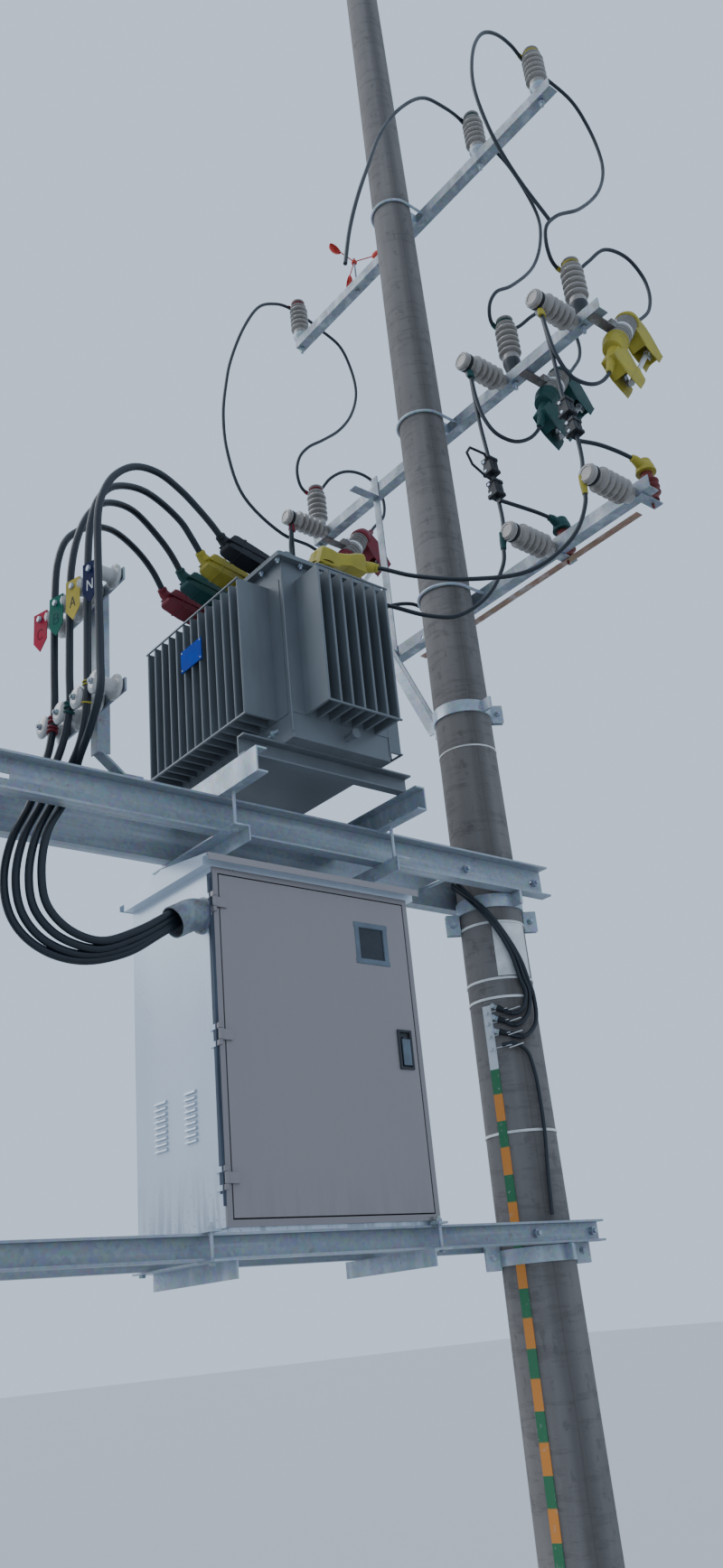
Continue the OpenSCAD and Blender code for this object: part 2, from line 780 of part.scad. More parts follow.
// Hood over a fuse's lower contact, open above for the tube and below
module lower_boot() {
  difference() {
    union() {
      translate([0, 0, -24])
        cylinder(h = 44, d1 = 122, d2 = 126);
      translate([0, 0, -76])
        cylinder(h = 52, d1 = 90, d2 = 122);
      translate([20, 0, -208])
        cylinder(h = 150, d1 = 46, d2 = 76);
      side_block([[0, -200], [0, 14], [40, -4], [fuse_reach + 40, -92],
                  [fuse_reach + 40, -196], [fuse_reach - 80, -206]], 42);
    }
    side_block([[58, -214], [58, -34], [fuse_reach - 30, -80],
                [fuse_reach - 30, -60], [fuse_reach + 44, -60],
                [fuse_reach + 44, -200], [fuse_reach - 80, -214]], 38);
    translate([0, 0, -20])
      rod(40, 82);
    translate([0, 0, 6])
      rod(30, 118);
    translate([20, 0, -220])
      rod(30, 30);
  }
}

module fuse_boots(y) {
  at_fuse(y) {
    upper_boot();
    lower_boot();
  }
}

module red_covers() {
  color("#b03030") {
    lv_cover(1.5 * lv_pitch);
    hv_cover(hv_pitch);
    arrester_cap(arrester_places[2]);
    fuse_boots(fuse_places[2]);
  }
}

module green_covers() {
  color("#2f6b4a") {
    lv_cover(0.5 * lv_pitch);
    hv_cover(0);
    arrester_cap(arrester_places[1]);
    fuse_boots(fuse_places[1]);
  }
}

module yellow_covers() {
  color("#c9b832") {
    lv_cover(-0.5 * lv_pitch);
    hv_cover(-hv_pitch);
    arrester_cap(arrester_places[0]);
    fuse_boots(fuse_places[0]);
  }
}

module black_cover() {
  color("#26282a")
    lv_cover(-1.5 * lv_pitch);
}

// Bare plate on the fins of the left side
module name_plate() {
  color("#2f5fa8")
    translate([tank_x - tank_length / 2 - fin_depth - 4, -80, fin_bottom + fin_height - 228])
      cube([4, 153, 99]);
}

// Cabinet

// Pressed hood of a louvre on the left side, drawn as a wedge
module louvre(width) {
  translate([0, width, 0])
    rotate([90, 0, 0])
      linear_extrude(width)
        polygon([[1, 0], [-9, 0], [-7, 6], [1, 13]]);
}

module louvre_column(y, width) {
  for (i = [0:louvre_count - 1])
    translate([cabinet_left, y, cabinet_bottom + 292 + i * 20.4])
      louvre(width);
}

module cabinet_shell() {
  inner_width = cabinet_width - 2 * door_frame;
  color("#aeb9c2") {
    difference() {
      translate([cabinet_left, cabinet_front, cabinet_bottom])
        cube([cabinet_width, cabinet_depth, cabinet_height]);
      translate([cabinet_left + cabinet_wall, cabinet_front + 34, cabinet_bottom + cabinet_wall])
        cube([cabinet_width - 2 * cabinet_wall, cabinet_depth - 34 - cabinet_wall,
              cabinet_height - 2 * cabinet_wall]);
      translate([cabinet_left + door_frame, cabinet_front - 1, cabinet_bottom + door_frame])
        cube([inner_width, 60, cabinet_height - 2 * door_frame]);
    }
    translate([cabinet_left + 12, cabinet_front + 12, lower_deck])
      cube([cabinet_width - 24, cabinet_depth - 24, cabinet_bottom - lower_deck + 1]);
    louvre_column(155, 78);
    louvre_column(-38, 69);
    for (z = hinge_heights())
      shell_hinge(z);
  }
}

function hinge_heights() = [cabinet_bottom + 151, (cabinet_bottom + cabinet_top) / 2 + 6, cabinet_top - 134];

// Fixed knuckles of one hinge, above and below the door's knuckle
module shell_hinge(z) {
  for (level = [-38, 20])
    translate([hinge_x, hinge_y, z + level]) {
      rod(18, 14);
      translate([-5, 0, 0])
        cube([7, 60, 18]);
    }
  translate([hinge_x, hinge_y, z - 38])
    rod(76, 6);
}

module cabinet_roof() {
  front = cabinet_front - roof_overhang;
  back = cabinet_back + roof_overhang;
  ridge = (front + back) / 2;
  color("#9aa6b0")
    translate([cabinet_left - roof_overhang, 0, cabinet_top])
      rotate([90, 0, 90])
        linear_extrude(cabinet_width + 2 * roof_overhang)
          polygon([[front, 10], [front, eaves_height], [ridge, eaves_height + roof_rise], [back, eaves_height],
                   [back, 10], [back - 3, 10], [back - 3, 30], [back - roof_overhang, 30],
                   [back - roof_overhang, 0], [front + roof_overhang, 0],
                   [front + roof_overhang, 30], [front + 3, 30], [front + 3, 10]]);
}

// Door, closed at rest, with a hole behind the window
module cabinet_door() {
  gap = 5;
  x0 = cabinet_left + door_frame + gap;
  z0 = cabinet_bottom + door_frame + gap;
  width = cabinet_width - 2 * (door_frame + gap);
  height = cabinet_height - 2 * (door_frame + gap);
  color("#9c9a94") {
    difference() {
      translate([x0, cabinet_front, z0])
        cube([width, door_thickness, height]);
      translate([x0 + 3, cabinet_front + 3, z0 + 3])
        cube([width - 6, door_thickness, height - 6]);
      translate([window_x(), cabinet_front - 1, window_z()])
        cube([147, 10, 150]);
      translate([latch_x(), cabinet_front - 1, latch_z()])
        cube([58, 10, 138]);
    }
    for (z = hinge_heights())
      translate([hinge_x, hinge_y, z - 18])
        door_knuckle(x0 - hinge_x + 25);
  }
}

module door_knuckle(reach) {
  difference() {
    union() {
      rod(36, 14);
      translate([0, 2, 0])
        cube([reach, 6, 36]);
      translate([reach - 8, 2, 0])
        cube([8, 12, 36]);
    }
    translate([0, 0, -1])
      rod(38, 7);
  }
}

function window_x() = cabinet_right - 275;
function window_z() = cabinet_top - 282;
function latch_x() = cabinet_right - 114;
function latch_z() = (cabinet_bottom + cabinet_top) / 2 - 66;

module door_window() {
  color("#39434c")
    translate([window_x() - 8, cabinet_front + 3, window_z() - 8])
      cube([163, 5, 166]);
}

module door_latch() {
  color("#33383c") {
    translate([latch_x() - 6, cabinet_front + 3, latch_z() - 6])
      cube([70, 14, 150]);
    translate([latch_x() + 20, cabinet_front - 4, latch_z() + 20])
      cube([18, 8, 98]);
    translate([latch_x() + 29, cabinet_front - 4, latch_z() + 28])
      rod_y(8, 24);
  }
}

// Short pipe elbow on the left side where the cables enter
module cable_hood() {
  color("#7d858b")
    translate([cabinet_left, hood_y, cabinet_top - 165]) {
      difference() {
        hood_pipe(hood_diameter, 0, 70);
        hood_pipe(hood_diameter - 8, 4, 80);
      }
      difference() {
        translate([-8, 0, 0])
          rod_x(8, hood_diameter + 16);
        translate([-9, 0, 0])
          rod_x(10, hood_diameter - 4);
      }
    }
}

// Pipe from x = -start, bent down, with a straight end of a given length
module hood_pipe(diameter, start, end) {
  sweep = 28;
  bend = hood_diameter * 0.62;
  translate([-30, 0, 0])
    rod_x(30 - start, diameter);
  translate([-30, 0, -bend]) {
    rotate([90, 0, 0])
      rotate_extrude(angle = sweep, start = 90)
        translate([bend, 0])
          circle(d = diameter);
    rotate([0, -sweep, 0])
      translate([-end, 0, bend])
        rod_x(end, diameter);
  }
}

// Low voltage rack

module lv_post() {
  post_top = spool_rows[1] + 40;
  color("#7c7468") {
    difference() {
      translate([rack_x, rack_y - 25, upper_deck + 70])
        cube([50, 50, post_top - upper_deck - 70]);
      translate([rack_x + 6, rack_y - 19, upper_deck + 60])
        cube([50, 50, post_top]);
    }
    rack_foot();
    for (z = spool_rows)
      translate([rack_x - 8, spool_start - 40, z - 25])
        cube([8, 3 * spool_pitch + 80, 50]);
    for (z = spool_rows, i = [0:3])
      translate([spool_x - 76, spool_start + i * spool_pitch, z])
        rod_x(rack_x - spool_x + 74, 14);
  }
}

// Foot of the post, bent towards +X and bolted to the near upper beam
module rack_foot() {
  translate([0, rack_y + 25, 0])
    rotate([90, 0, 0])
      linear_extrude(50)
        polygon([[rack_x, upper_deck + 90], [rack_x + 8, upper_deck + 90],
                 [rack_x + 108, upper_deck + 8], [rack_x + 180, upper_deck + 8],
                 [rack_x + 180, upper_deck], [rack_x + 104, upper_deck],
                 [rack_x, upper_deck + 84]]);
}

module lv_spools() {
  color("#c9c6bf")
    for (z = spool_rows, i = [0:3])
      translate([spool_x - 38, spool_start + i * spool_pitch, z])
        spool();
}

module spool() {
  rotate([0, 90, 0])
    rotate_extrude($fn = 36)
      polygon([[7.5, 0], [34, 0], [40, 6], [40, 16], [27, 26], [24, 38],
               [27, 50], [40, 60], [40, 70], [34, 76], [7.5, 76]]);
}

// Pentagon tags at the upper bolts
module phase_tags() {
  color("#d8d2c0")
    for (i = [0:3])
      translate([spool_x - 56, spool_start + i * spool_pitch, spool_rows[1]])
        rotate([90, 0, -90])
          linear_extrude(2)
            difference() {
              polygon([[-35, 20], [35, 20], [35, -70], [0, -100], [-35, -70]]);
              translate([0, 0])
                circle(d = 15);
            }
}

// Arms

module arm(z, y0, y1, pins = [], studs = [], stud_rise = 30) {
  difference() {
    translate([arm_x, y0, z])
      angle_y(y1 - y0, arm_leg, arm_leg, arm_thickness);
    for (y = pins)
      translate([pin_x, y, z - 1])
        rod(arm_thickness + 2, 19);
    for (y = studs)
      translate([arm_x - 1, y, z + stud_rise])
        rod_x(arm_thickness + 2, 19);
    for (side = [-1, 1])
      translate([arm_x - 1, side * (pole_radius(z + arm_leg / 2) + 8), z + arm_leg / 2])
        rod_x(arm_thickness + 2, 17);
  }
}

// Block between the pole and an arm that stands off it
module arm_saddle(z) {
  difference() {
    translate([60, -70, z])
      cube([arm_x - 60, 140, arm_leg]);
    translate([0, 0, z - 1])
      rod(arm_leg + 2, 2 * pole_radius(z));
  }
}

// Strap with two threaded ends round the far side of the pole
module arm_strap(z) {
  r = pole_radius(z);
  translate([0, 0, z])
    rotate_extrude(angle = 180, start = 90, $fn = 72)
      translate([r + 8, 0])
        circle(d = 16, $fn = 24);
  for (side = [-1, 1])
    translate([0, side * (r + 8), z]) {
      rod_x(arm_x + arm_thickness + 24, 16);
      translate([arm_x + arm_thickness, 0, 0])
        rotate([0, 90, 0])
          hex_nut(14, 26);
    }
}

module top_crossarm() {
  color("#b4bcc4") {
    arm(top_arm_height, -arm_end, arm_end, concat(top_pins, [rotor_y]));
    translate([pin_x, rotor_y, top_arm_height + 2])
      rod(230, 12);
    translate([pin_x, rotor_y, top_arm_height + 230])
      rod(40, 6);
    translate([pin_x, rotor_y, top_arm_height + 266])
      hex_nut(8, 14);
    translate([pin_x, rotor_y, top_arm_height - 12])
      hex_nut(30, 24);
  }
}

module fuse_crossarm() {
  color("#b4bcc4")
    arm(fuse_arm_height, -arm_end, arm_end, fuse_pins, fuse_sides);
}

module arrester_crossarm() {
  color("#b4bcc4") {
    arm(arrester_arm_height, -arrester_arm_front, arrester_arm_back, [], arrester_sides, 20);
    for (y = arrester_places)
      translate([arm_x + 2, y - 25, arrester_arm_height - 8])
        cube([150, 50, 8]);
  }
}

// Flat copper bar that joins the arresters' feet
module earthing_bar() {
  color("#9a6a44")
    difference() {
      translate([arm_x + 90, 150 - arrester_arm_front, arrester_arm_height - 13])
        cube([40, arrester_arm_front + 300, 5]);
      for (y = arrester_places)
        translate([240, y, arrester_arm_height - 14])
          rod(7, 13);
    }
}

// Upright between the two lower arms, with a brace down to a pole hoop
module stay_post() {
  color("#b4bcc4") {
    translate([arm_x - 6, stay_y - 25, arrester_arm_height])
      cube([6, 50, fuse_arm_height - arrester_arm_height + 110]);
    translate([-54, stay_y - 25, fuse_arm_height - 40])
      cube([arm_x + 48, 50, 6]);
    hoop_brace(stay_hoop);
  }
}

// Flat brace from the hoop's ear to the end of the arrester arm
module hoop_brace(hoop) {
  from = hoop_ear(hoop);
  to = [arm_x - 10, stay_y, arrester_arm_height + 20];
  step = to - from;
  turn = atan2(step[1], step[0]);
  lean = atan2(norm([step[0], step[1]]), step[2]);
  difference() {
    translate(from)
      rotate([0, lean, turn])
        translate([-22, -3, -26])
          cube([44, 6, norm(step) + 46]);
    translate(from - [30, 0, 0])
      rod_x(60, 15);
  }
}

// Middle of the brace where a bolt holds it beside the hoop's ear
function hoop_ear(hoop) = [19, pole_radius(hoop) + 41, hoop + 30];

// Insulators

// Ribs of a turned porcelain: root and crest radii, at a pitch
function ribs(start, count, pitch, root, crest) =
  [for (i = [0:count - 1]) let (z = start + i * pitch)
    each [[root, z], [crest - 4, z + pitch * 0.15], [crest, z + pitch * 0.35],
          [crest - 2, z + pitch * 0.62], [root + 3, z + pitch * 0.88]]];

// Upright pin insulator, foot at z = 0
module pin_insulator() {
  rotate_extrude($fn = 40)
    polygon(concat([[0, 0], [44, 0], [45, 32]],
                   ribs(36, 4, 42, 56, 70),
                   [[54, 204], [60, 211], [63, 218], [60, 226], [48, 231], [40, 235],
                    [38, 241], [40, 247], [46, 251], [46, 258], [40, 265], [26, 268],
                    [0, 268]]));
}

module pin_insulators() {
  color("#a49c92") {
    for (y = top_pins)
      translate([pin_x, y, top_arm_height + arm_thickness])
        pin_with_stem(top_pin_rise);
    for (y = fuse_pins)
      translate([pin_x, y, fuse_arm_height + arm_thickness])
        pin_with_stem(fuse_pin_rise);
  }
}

// Pin through the arm, with a metal cap that starts above the arm's leg
module pin_with_stem(rise) {
  cap = rise - arm_leg - 8;
  translate([0, 0, -30])
    rod(rise + 40, 18);
  translate([0, 0, -18])
    hex_nut(12, 30);
  translate([0, 0, rise - cap])
    cylinder(h = cap + 2, d1 = 60, d2 = 88);
  translate([0, 0, rise])
    pin_insulator();
}

// Post insulator lying along X, reaching over the pole's near side
module side_insulator() {
  rotate([0, -90, 0])
    rotate_extrude($fn = 40)
      polygon(concat([[0, 0], [42, 0], [44, 34], [46, 38], [46, 44], [44, 48]],
                     ribs(58, 4, 40, 50, 70),
                     [[50, 218], [64, 224], [68, 232], [60, 240], [44, 245], [40, 250],
                      [40, 262], [48, 268], [52, 276], [50, 288], [42, 296], [28, 300],
                      [0, 300]]));
}

module side_insulators() {
  color("#a49c92") {
    for (y = fuse_sides)
      translate([arm_x, y, fuse_arm_height + 30])
        side_with_stud();
    for (y = arrester_sides)
      translate([arm_x, y, arrester_arm_height + 20])
        side_with_stud();
  }
}

module side_with_stud() {
  side_insulator();
  translate([-20, 0, 0])
    rod_x(60, 18);
  translate([arm_thickness, 0, 0])
    rotate([0, 90, 0])
      hex_nut(14, 28);
}

// Drop-out fuses

module fuse_brackets() {
  color("#8a8178")
    for (y = fuse_places) {
      translate([arm_x + arm_thickness, y - 25, fuse_arm_height - 8])
        cube([174, 50, 8]);
      translate([arm_x + arm_thickness + 136, y - 25, fuse_arm_height])
        cube([38, 50, 40]);
    }
}

module fuse_insulators() {
  color("#8b8078")
    for (y = fuse_places)
      at_fuse(y) {
        fuse_post();
        fuse_contacts();
      }
}

module fuse_post() {
  rotate_extrude($fn = 40)
    polygon(concat([[0, -40], [30, -40], [30, 10]],
                   ribs(12, 5, 17, 49, 58),
                   [[49, 98], [56, 100], [56, 142], [49, 144]],
                   ribs(146, 5, 17, 49, 58),
                   [[49, 232], [30, 238], [30, 280], [0, 280]]));
}

// Upper contact arm, and lower fork with the bearings of the tube
module fuse_contacts() {
  pivot = fuse_pivot();
  translate([20, -10, fuse_porcelain + 8])
    cube([fuse_reach - 20, 20, 8]);
  translate([20, -10, -28])
    cube([60, 20, 8]);
  for (side = [-1, 1])
    translate([0, side * 24 - 2, 0])
      fork_cheek(pivot);
  translate([60, -26, -28])
    cube([8, 52, 8]);
}

function fuse_pivot() = -130;

module fork_cheek(pivot) {
  translate([0, 4, 0])
    rotate([90, 0, 0])
      linear_extrude(4)
        difference() {
          polygon([[56, -32], [56, -12], [76, -12], [fuse_reach + 14, pivot + 10],
                   [fuse_reach + 14, pivot - 14], [fuse_reach - 14, pivot - 14]]);
          translate([fuse_reach, pivot])
            circle(d = 11);
        }
}

// Tube with end ferrules and the cross pin that it swings about
module fuse_tube(y) {
  color("#b9bdc0")
    at_fuse(y)
      translate([fuse_reach, 0, fuse_pivot()]) {
        rod(fuse_porcelain + 118, fuse_tube_diameter);
        translate([0, 0, -18])
          rod(60, 32);
        translate([0, 0, fuse_porcelain + 84])
          rod(34, 34);
        translate([0, -30, 0])
          rod_y(60, 10);
        translate([10, -4, fuse_porcelain + 70])
          cube([26, 8, 40]);
      }
}

module fuse_tube_yellow() {
  fuse_tube(fuse_places[0]);
}

module fuse_tube_green() {
  fuse_tube(fuse_places[1]);
}

module fuse_tube_red() {
  fuse_tube(fuse_places[2]);
}

// Arresters

module arresters() {
  color("#7a3530")
    for (y = arrester_places)
      translate([240, y, arrester_arm_height - 30]) {
        rod(60, 12);
        rotate_extrude($fn = 40)
          polygon([[0, 36], [34, 36], [34, 54], [26, 60], [48, 76], [48, 80],
                   [28, 88], [48, 106], [48, 110], [28, 118], [48, 136],
                   [48, 140], [28, 148], [28, 200], [0, 200]]);
      }
}

// Leads

function unit(v) = v / norm(v);
function heading(route, i) = unit(route[min(i + 1, len(route) - 1)] - route[max(i - 1, 0)]);
function ring(centre, along, radius, sides) =
  let (across = unit(cross([0, 1, 0.02], along)), up = cross(along, across))
  [for (k = [0:sides - 1])
    centre + radius * (cos(360 * k / sides) * across + sin(360 * k / sides) * up)];

// Round lead swept along the points of its route
module lead(route, diameter, sides = 8) {
  last = len(route) - 1;
  points = [for (i = [0:last]) each ring(route[i], heading(route, i), diameter / 2, sides)];
  walls = [for (i = [0:last - 1], k = [0:sides - 1])
    let (a = i * sides + k, b = i * sides + (k + 1) % sides)
    each [[a, a + sides, b], [b, a + sides, b + sides]]];
  ends = [[for (k = [0:sides - 1]) k], [for (k = [sides - 1:-1:0]) last * sides + k]];
  polyhedron(points = points, faces = concat(walls, ends));
}

module lv_cables() {
  color("#1b1d20") {
    lead(red_cable, lv_cable);
    lead(green_cable, lv_cable);
    lead(yellow_cable, lv_cable);
    lead(black_cable, lv_cable);
  }
}

module upper_leads() {
  color("#1b1d20") {
    lead(red_upper, hv_lead);
    lead(green_upper, hv_lead);
    lead(yellow_upper, hv_lead);
  }
}

module lower_leads() {
  color("#1b1d20") {
    lead(yellow_lower, hv_lead);
    lead(green_lower, hv_lead);
    lead(red_lower, hv_lead);
    lead(yellow_branch, hv_lead);
    lead(green_branch, hv_lead);
    lead(red_branch, hv_lead);
  }
}

// Box shaped clamp on a lead at a point of its route
module lead_clamp(route, i, share, length) {
  step = heading(route, i);
  lean = atan2(norm([step[0], step[1]]), step[2]);
  turn = atan2(step[1], step[0]);
  translate(route[i] + share * (route[min(i + 1, len(route) - 1)] - route[i]))
    rotate([0, lean, turn])
      translate([-17, -14, -length / 2])
        cube([34, 28, length]);
}

module lead_clamps() {
  color("#17181a") {
    lead_clamp(yellow_lower, 9, 0.85, 90);
    lead_clamp(yellow_lower, 10, 0.5, 60);
    lead_clamp(green_lower, 9, 0.8, 90);
    lead_clamp(green_lower, 10, 0.5, 60);
    lead_clamp(red_lower, 11, 0.2, 90);
  }
}

// Earthing on the right pole

// Child at the strip's place on the pole's face at a height, z up, -X outward
module on_strip(z) {
  rotate([0, 0, strip_angle - 180])
    translate([-pole_radius(z), 0, z])
      children();
}

module earth_strip() {
  color("#3f8a5c") {
    slope = atan2(1, 2 * pole_taper);
    on_strip(0)
      rotate([0, slope, 0])
        translate([-4, -20, 0])
          cube([4, 40, 2690]);
    for (z = [2513, 2566, 2620, 2668])
      on_strip(z) {
        translate([-6, 0, -9])
          mirror([1, 0, 0])
            rod_x(12, 16);
        translate([-4, -96, -8])
          cube([5, 92, 3]);
      }
  }
}

// Black cables from the deck to the strip's lugs, and one down the pole
module earth_leads() {
  color("#1b1d20") {
    lead([[-175, 40, 3250], [-160, -60, 3140], [-120, -125, 3030], [-70, -156, 2900],
      [-40, -160, 2790], [-20, -162, 2730], [-50, -156, 2655], [-95, -134, 2640],
      [-130, -95, 2668]], 18);
    lead([[-190, -10, 3250], [-150, -90, 3120], [-100, -140, 3010], [-50, -164, 2890],
      [-20, -166, 2790], [0, -166, 2730], [-30, -160, 2630], [-85, -140, 2590],
      [-132, -95, 2620]], 18);
    lead([[-205, 10, 3250], [-140, -110, 3100], [-80, -152, 2980], [-30, -170, 2870],
      [0, -170, 2780], [20, -168, 2720], [10, -166, 2600], [-60, -152, 2540],
      [-134, -94, 2566]], 18);
    lead([[-136, -92, 2513], [-95, -132, 2512], [-55, -153, 2480], [-35, -160, 2400],
      [-28, -162, 2300], [-30, -163, 2150], [-42, -160, 2000], [-52, -158, 1827]], 16);
  }
}

sheet_bottom = upper_deck - 513;

// Thin ring of strap round the right pole
module strap_ring(z, height) {
  translate([0, 0, z - height / 2])
    difference() {
      rod(height, 2 * pole_radius(z) + 6);
      translate([0, 0, -1])
        rod(height + 2, 2 * pole_radius(z - height / 2));
    }
}

module pole_straps() {
  color("#d9d6cf") {
    strap_ring(upper_deck - 270, 10);
    strap_ring(sheet_bottom - 10, 10);
    strap_ring(upper_deck - 605, 10);
    strap_ring(lower_deck + 360, 10);
  }
}

// Bare sheet bent round the pole under the upper beams
module pole_plate() {
  color("#d5d8da")
    translate([0, 0, sheet_bottom])
      rotate_extrude(angle = 68, start = 223, $fn = 96)
        translate([pole_radius(sheet_bottom) + 0.5, 0])
          square([2, 236]);
}

// Bird repeller

module bird_rotor() {
  color("#b5402e")
    translate([pin_x, rotor_y, top_arm_height + 234]) {
      difference() {
        rod(28, 36);
        translate([0, 0, -1])
          rod(30, 7);
      }
      for (turn = [185, 65, -55])
        rotate([0, 0, turn]) {
          translate([10, 0, 14])
            rod_x(rotor_reach - 50, 7);
          translate([rotor_reach - 26, 0, 14])
            cup();
        }
    }
}

// Open cup of the rotor, a turned shell that faces the way it spins
module cup() {
  rotate([90, 0, 0])
    rotate_extrude($fn = 36)
      polygon([[38, 0], [37, 11], [32, 20], [24, 28], [13, 34], [0, 36],
               [0, 33], [12, 31], [22, 25.5], [29.5, 18], [34, 10], [35, 0]]);
}

right_pole();
left_pole();
upper_beams();
lower_beams();
pole_clamps();
cross_channels();
clamp_angles();
base_rails();
tank();
cooling_fins();
tank_cover();
lv_bushings();
hv_bushings();
red_covers();
green_covers();
yellow_covers();
black_cover();
name_plate();
cabinet_shell();
cabinet_roof();
cabinet_door();
door_window();
door_latch();
cable_hood();
lv_post();
lv_spools();
phase_tags();
lv_cables();
top_crossarm();
fuse_crossarm();
arrester_crossarm();
earthing_bar();
stay_post();
pin_insulators();
side_insulators();
fuse_brackets();
fuse_insulators();
fuse_tube_yellow();
fuse_tube_green();
fuse_tube_red();
arresters();
upper_leads();
lower_leads();
lead_clamps();
earth_strip();
earth_leads();
pole_straps();
pole_plate();
bird_rotor();
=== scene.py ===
"""Looks of a pole mounted transformer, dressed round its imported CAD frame.

All lengths are metres in the frame's own axes: X from the left pole to the
right pole, Y to the back, Z up, with the right pole's foot at the origin.
"""

import functools
import math

import bmesh
import bpy
import numpy as np
from bpy.props import FloatProperty, FloatVectorProperty, IntProperty, PointerProperty
from mathutils import Matrix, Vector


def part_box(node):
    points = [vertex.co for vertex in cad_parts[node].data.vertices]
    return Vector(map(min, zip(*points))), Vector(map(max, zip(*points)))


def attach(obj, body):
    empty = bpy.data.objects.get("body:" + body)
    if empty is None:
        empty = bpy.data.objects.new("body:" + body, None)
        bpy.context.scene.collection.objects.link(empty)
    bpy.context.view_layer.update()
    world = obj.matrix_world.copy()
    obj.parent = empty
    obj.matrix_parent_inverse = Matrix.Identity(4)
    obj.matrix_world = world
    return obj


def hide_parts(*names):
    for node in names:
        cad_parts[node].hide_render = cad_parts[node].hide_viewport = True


bl_info = {
    "name": "Pole mounted transformer",
    "version": (1, 0, 0),
    "blender": (4, 5, 0),
    "location": "View3D > Sidebar > Transformer",
    "description": "Dresses the packed frame of a pole mounted transformer",
    "category": "Object",
}

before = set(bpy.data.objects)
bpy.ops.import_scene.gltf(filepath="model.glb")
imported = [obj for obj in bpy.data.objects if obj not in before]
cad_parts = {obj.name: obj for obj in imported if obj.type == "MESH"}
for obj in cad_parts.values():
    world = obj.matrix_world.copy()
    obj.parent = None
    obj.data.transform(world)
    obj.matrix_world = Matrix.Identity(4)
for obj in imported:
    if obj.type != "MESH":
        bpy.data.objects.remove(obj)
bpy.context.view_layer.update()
STRUCTURE = "structure"
PHASES = ("yellow", "green", "red")
SHARP_ANGLE = math.radians(35)

# Camera of the photograph
EYE = (-3.9035, -3.6601, 1.4819)
EYE_YAW = 0.7206
EYE_PITCH = 0.4164
EYE_ROLL = -0.1000
EYE_LENS = 28.15

# Poles: both taper by one in 75 of their diameter
LEFT_POLE_X = sum(corner[0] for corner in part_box("left_pole")) / 2
POLE_TOP, POLE_TOP_RADIUS, POLE_TAPER = 10.1, 0.095, 150
STRAP_Z = 3.922
HOOP_EARS = [
    (z, pole_x, side) for z in (3.085, 1.690) for pole_x in (0, LEFT_POLE_X) for side in (-1, 1)
] + [(4.140, 0, 1)]

# Tank, its terminals and the rows of soft covers along Y
TANK_X, TANK_LENGTH, TANK_DEPTH = -1.147, 0.475, 0.880
FIN_TOP, FLANGE_Z = 4.2085, 4.2845
RAIL_X, RAIL_Y, RAIL_Z = 0.238, 0.318, 3.571
LV_X, HV_X = -1.297, -1.012
LV_PLACES = {"black": -0.2325, "yellow": -0.0775, "green": 0.0775, "red": 0.2325}
HV_PLACES = {"yellow": -0.25, "green": 0.0, "red": 0.25}

# Arms, and what stands on or reaches from them
TOP_ARM, FUSE_ARM = 7.46, 5.88
PIN_X, ARM_X = 0.16297, 0.13047
TOP_SEAT, FUSE_SEAT = 7.565, 6.018
# Heights of a pin insulator's neck and groove above its seat, and of the leads over both arms
NECK, GROOVE = 0.270, 0.273
TOP_LEADS, FUSE_LEADS = 7.842, 6.292
TOP_PINS = {"yellow": -1.06, "green": -0.58, "red": 1.13}
FUSE_PINS = {"yellow": -1.02, "green": -0.55, "red": 1.125}
SIDE_ROWS = (
    (5.910, {"yellow": -0.989, "green": -0.492, "red": 1.035}),
    (4.800, {"yellow": -1.09, "green": -0.6}),
)
FUSE_TILT = math.radians(34.5)
FUSE_X, FUSE_Z = 0.300, 5.788
FUSE_PLACES = {"yellow": -1.09, "green": -0.63, "red": 1.06}
ARRESTER_PLACES = {"yellow": -1.13, "green": -0.61, "red": 0.33}
STAY_Y = 0.55
ROTOR = (PIN_X, 0.536, 7.694)

# Low voltage rack
SPOOL_X = -2.112
SPOOL_YS = (-0.367, -0.237, -0.107, 0.023)
UPPER_SPOOLS, LOWER_SPOOLS = 4.010, 3.560

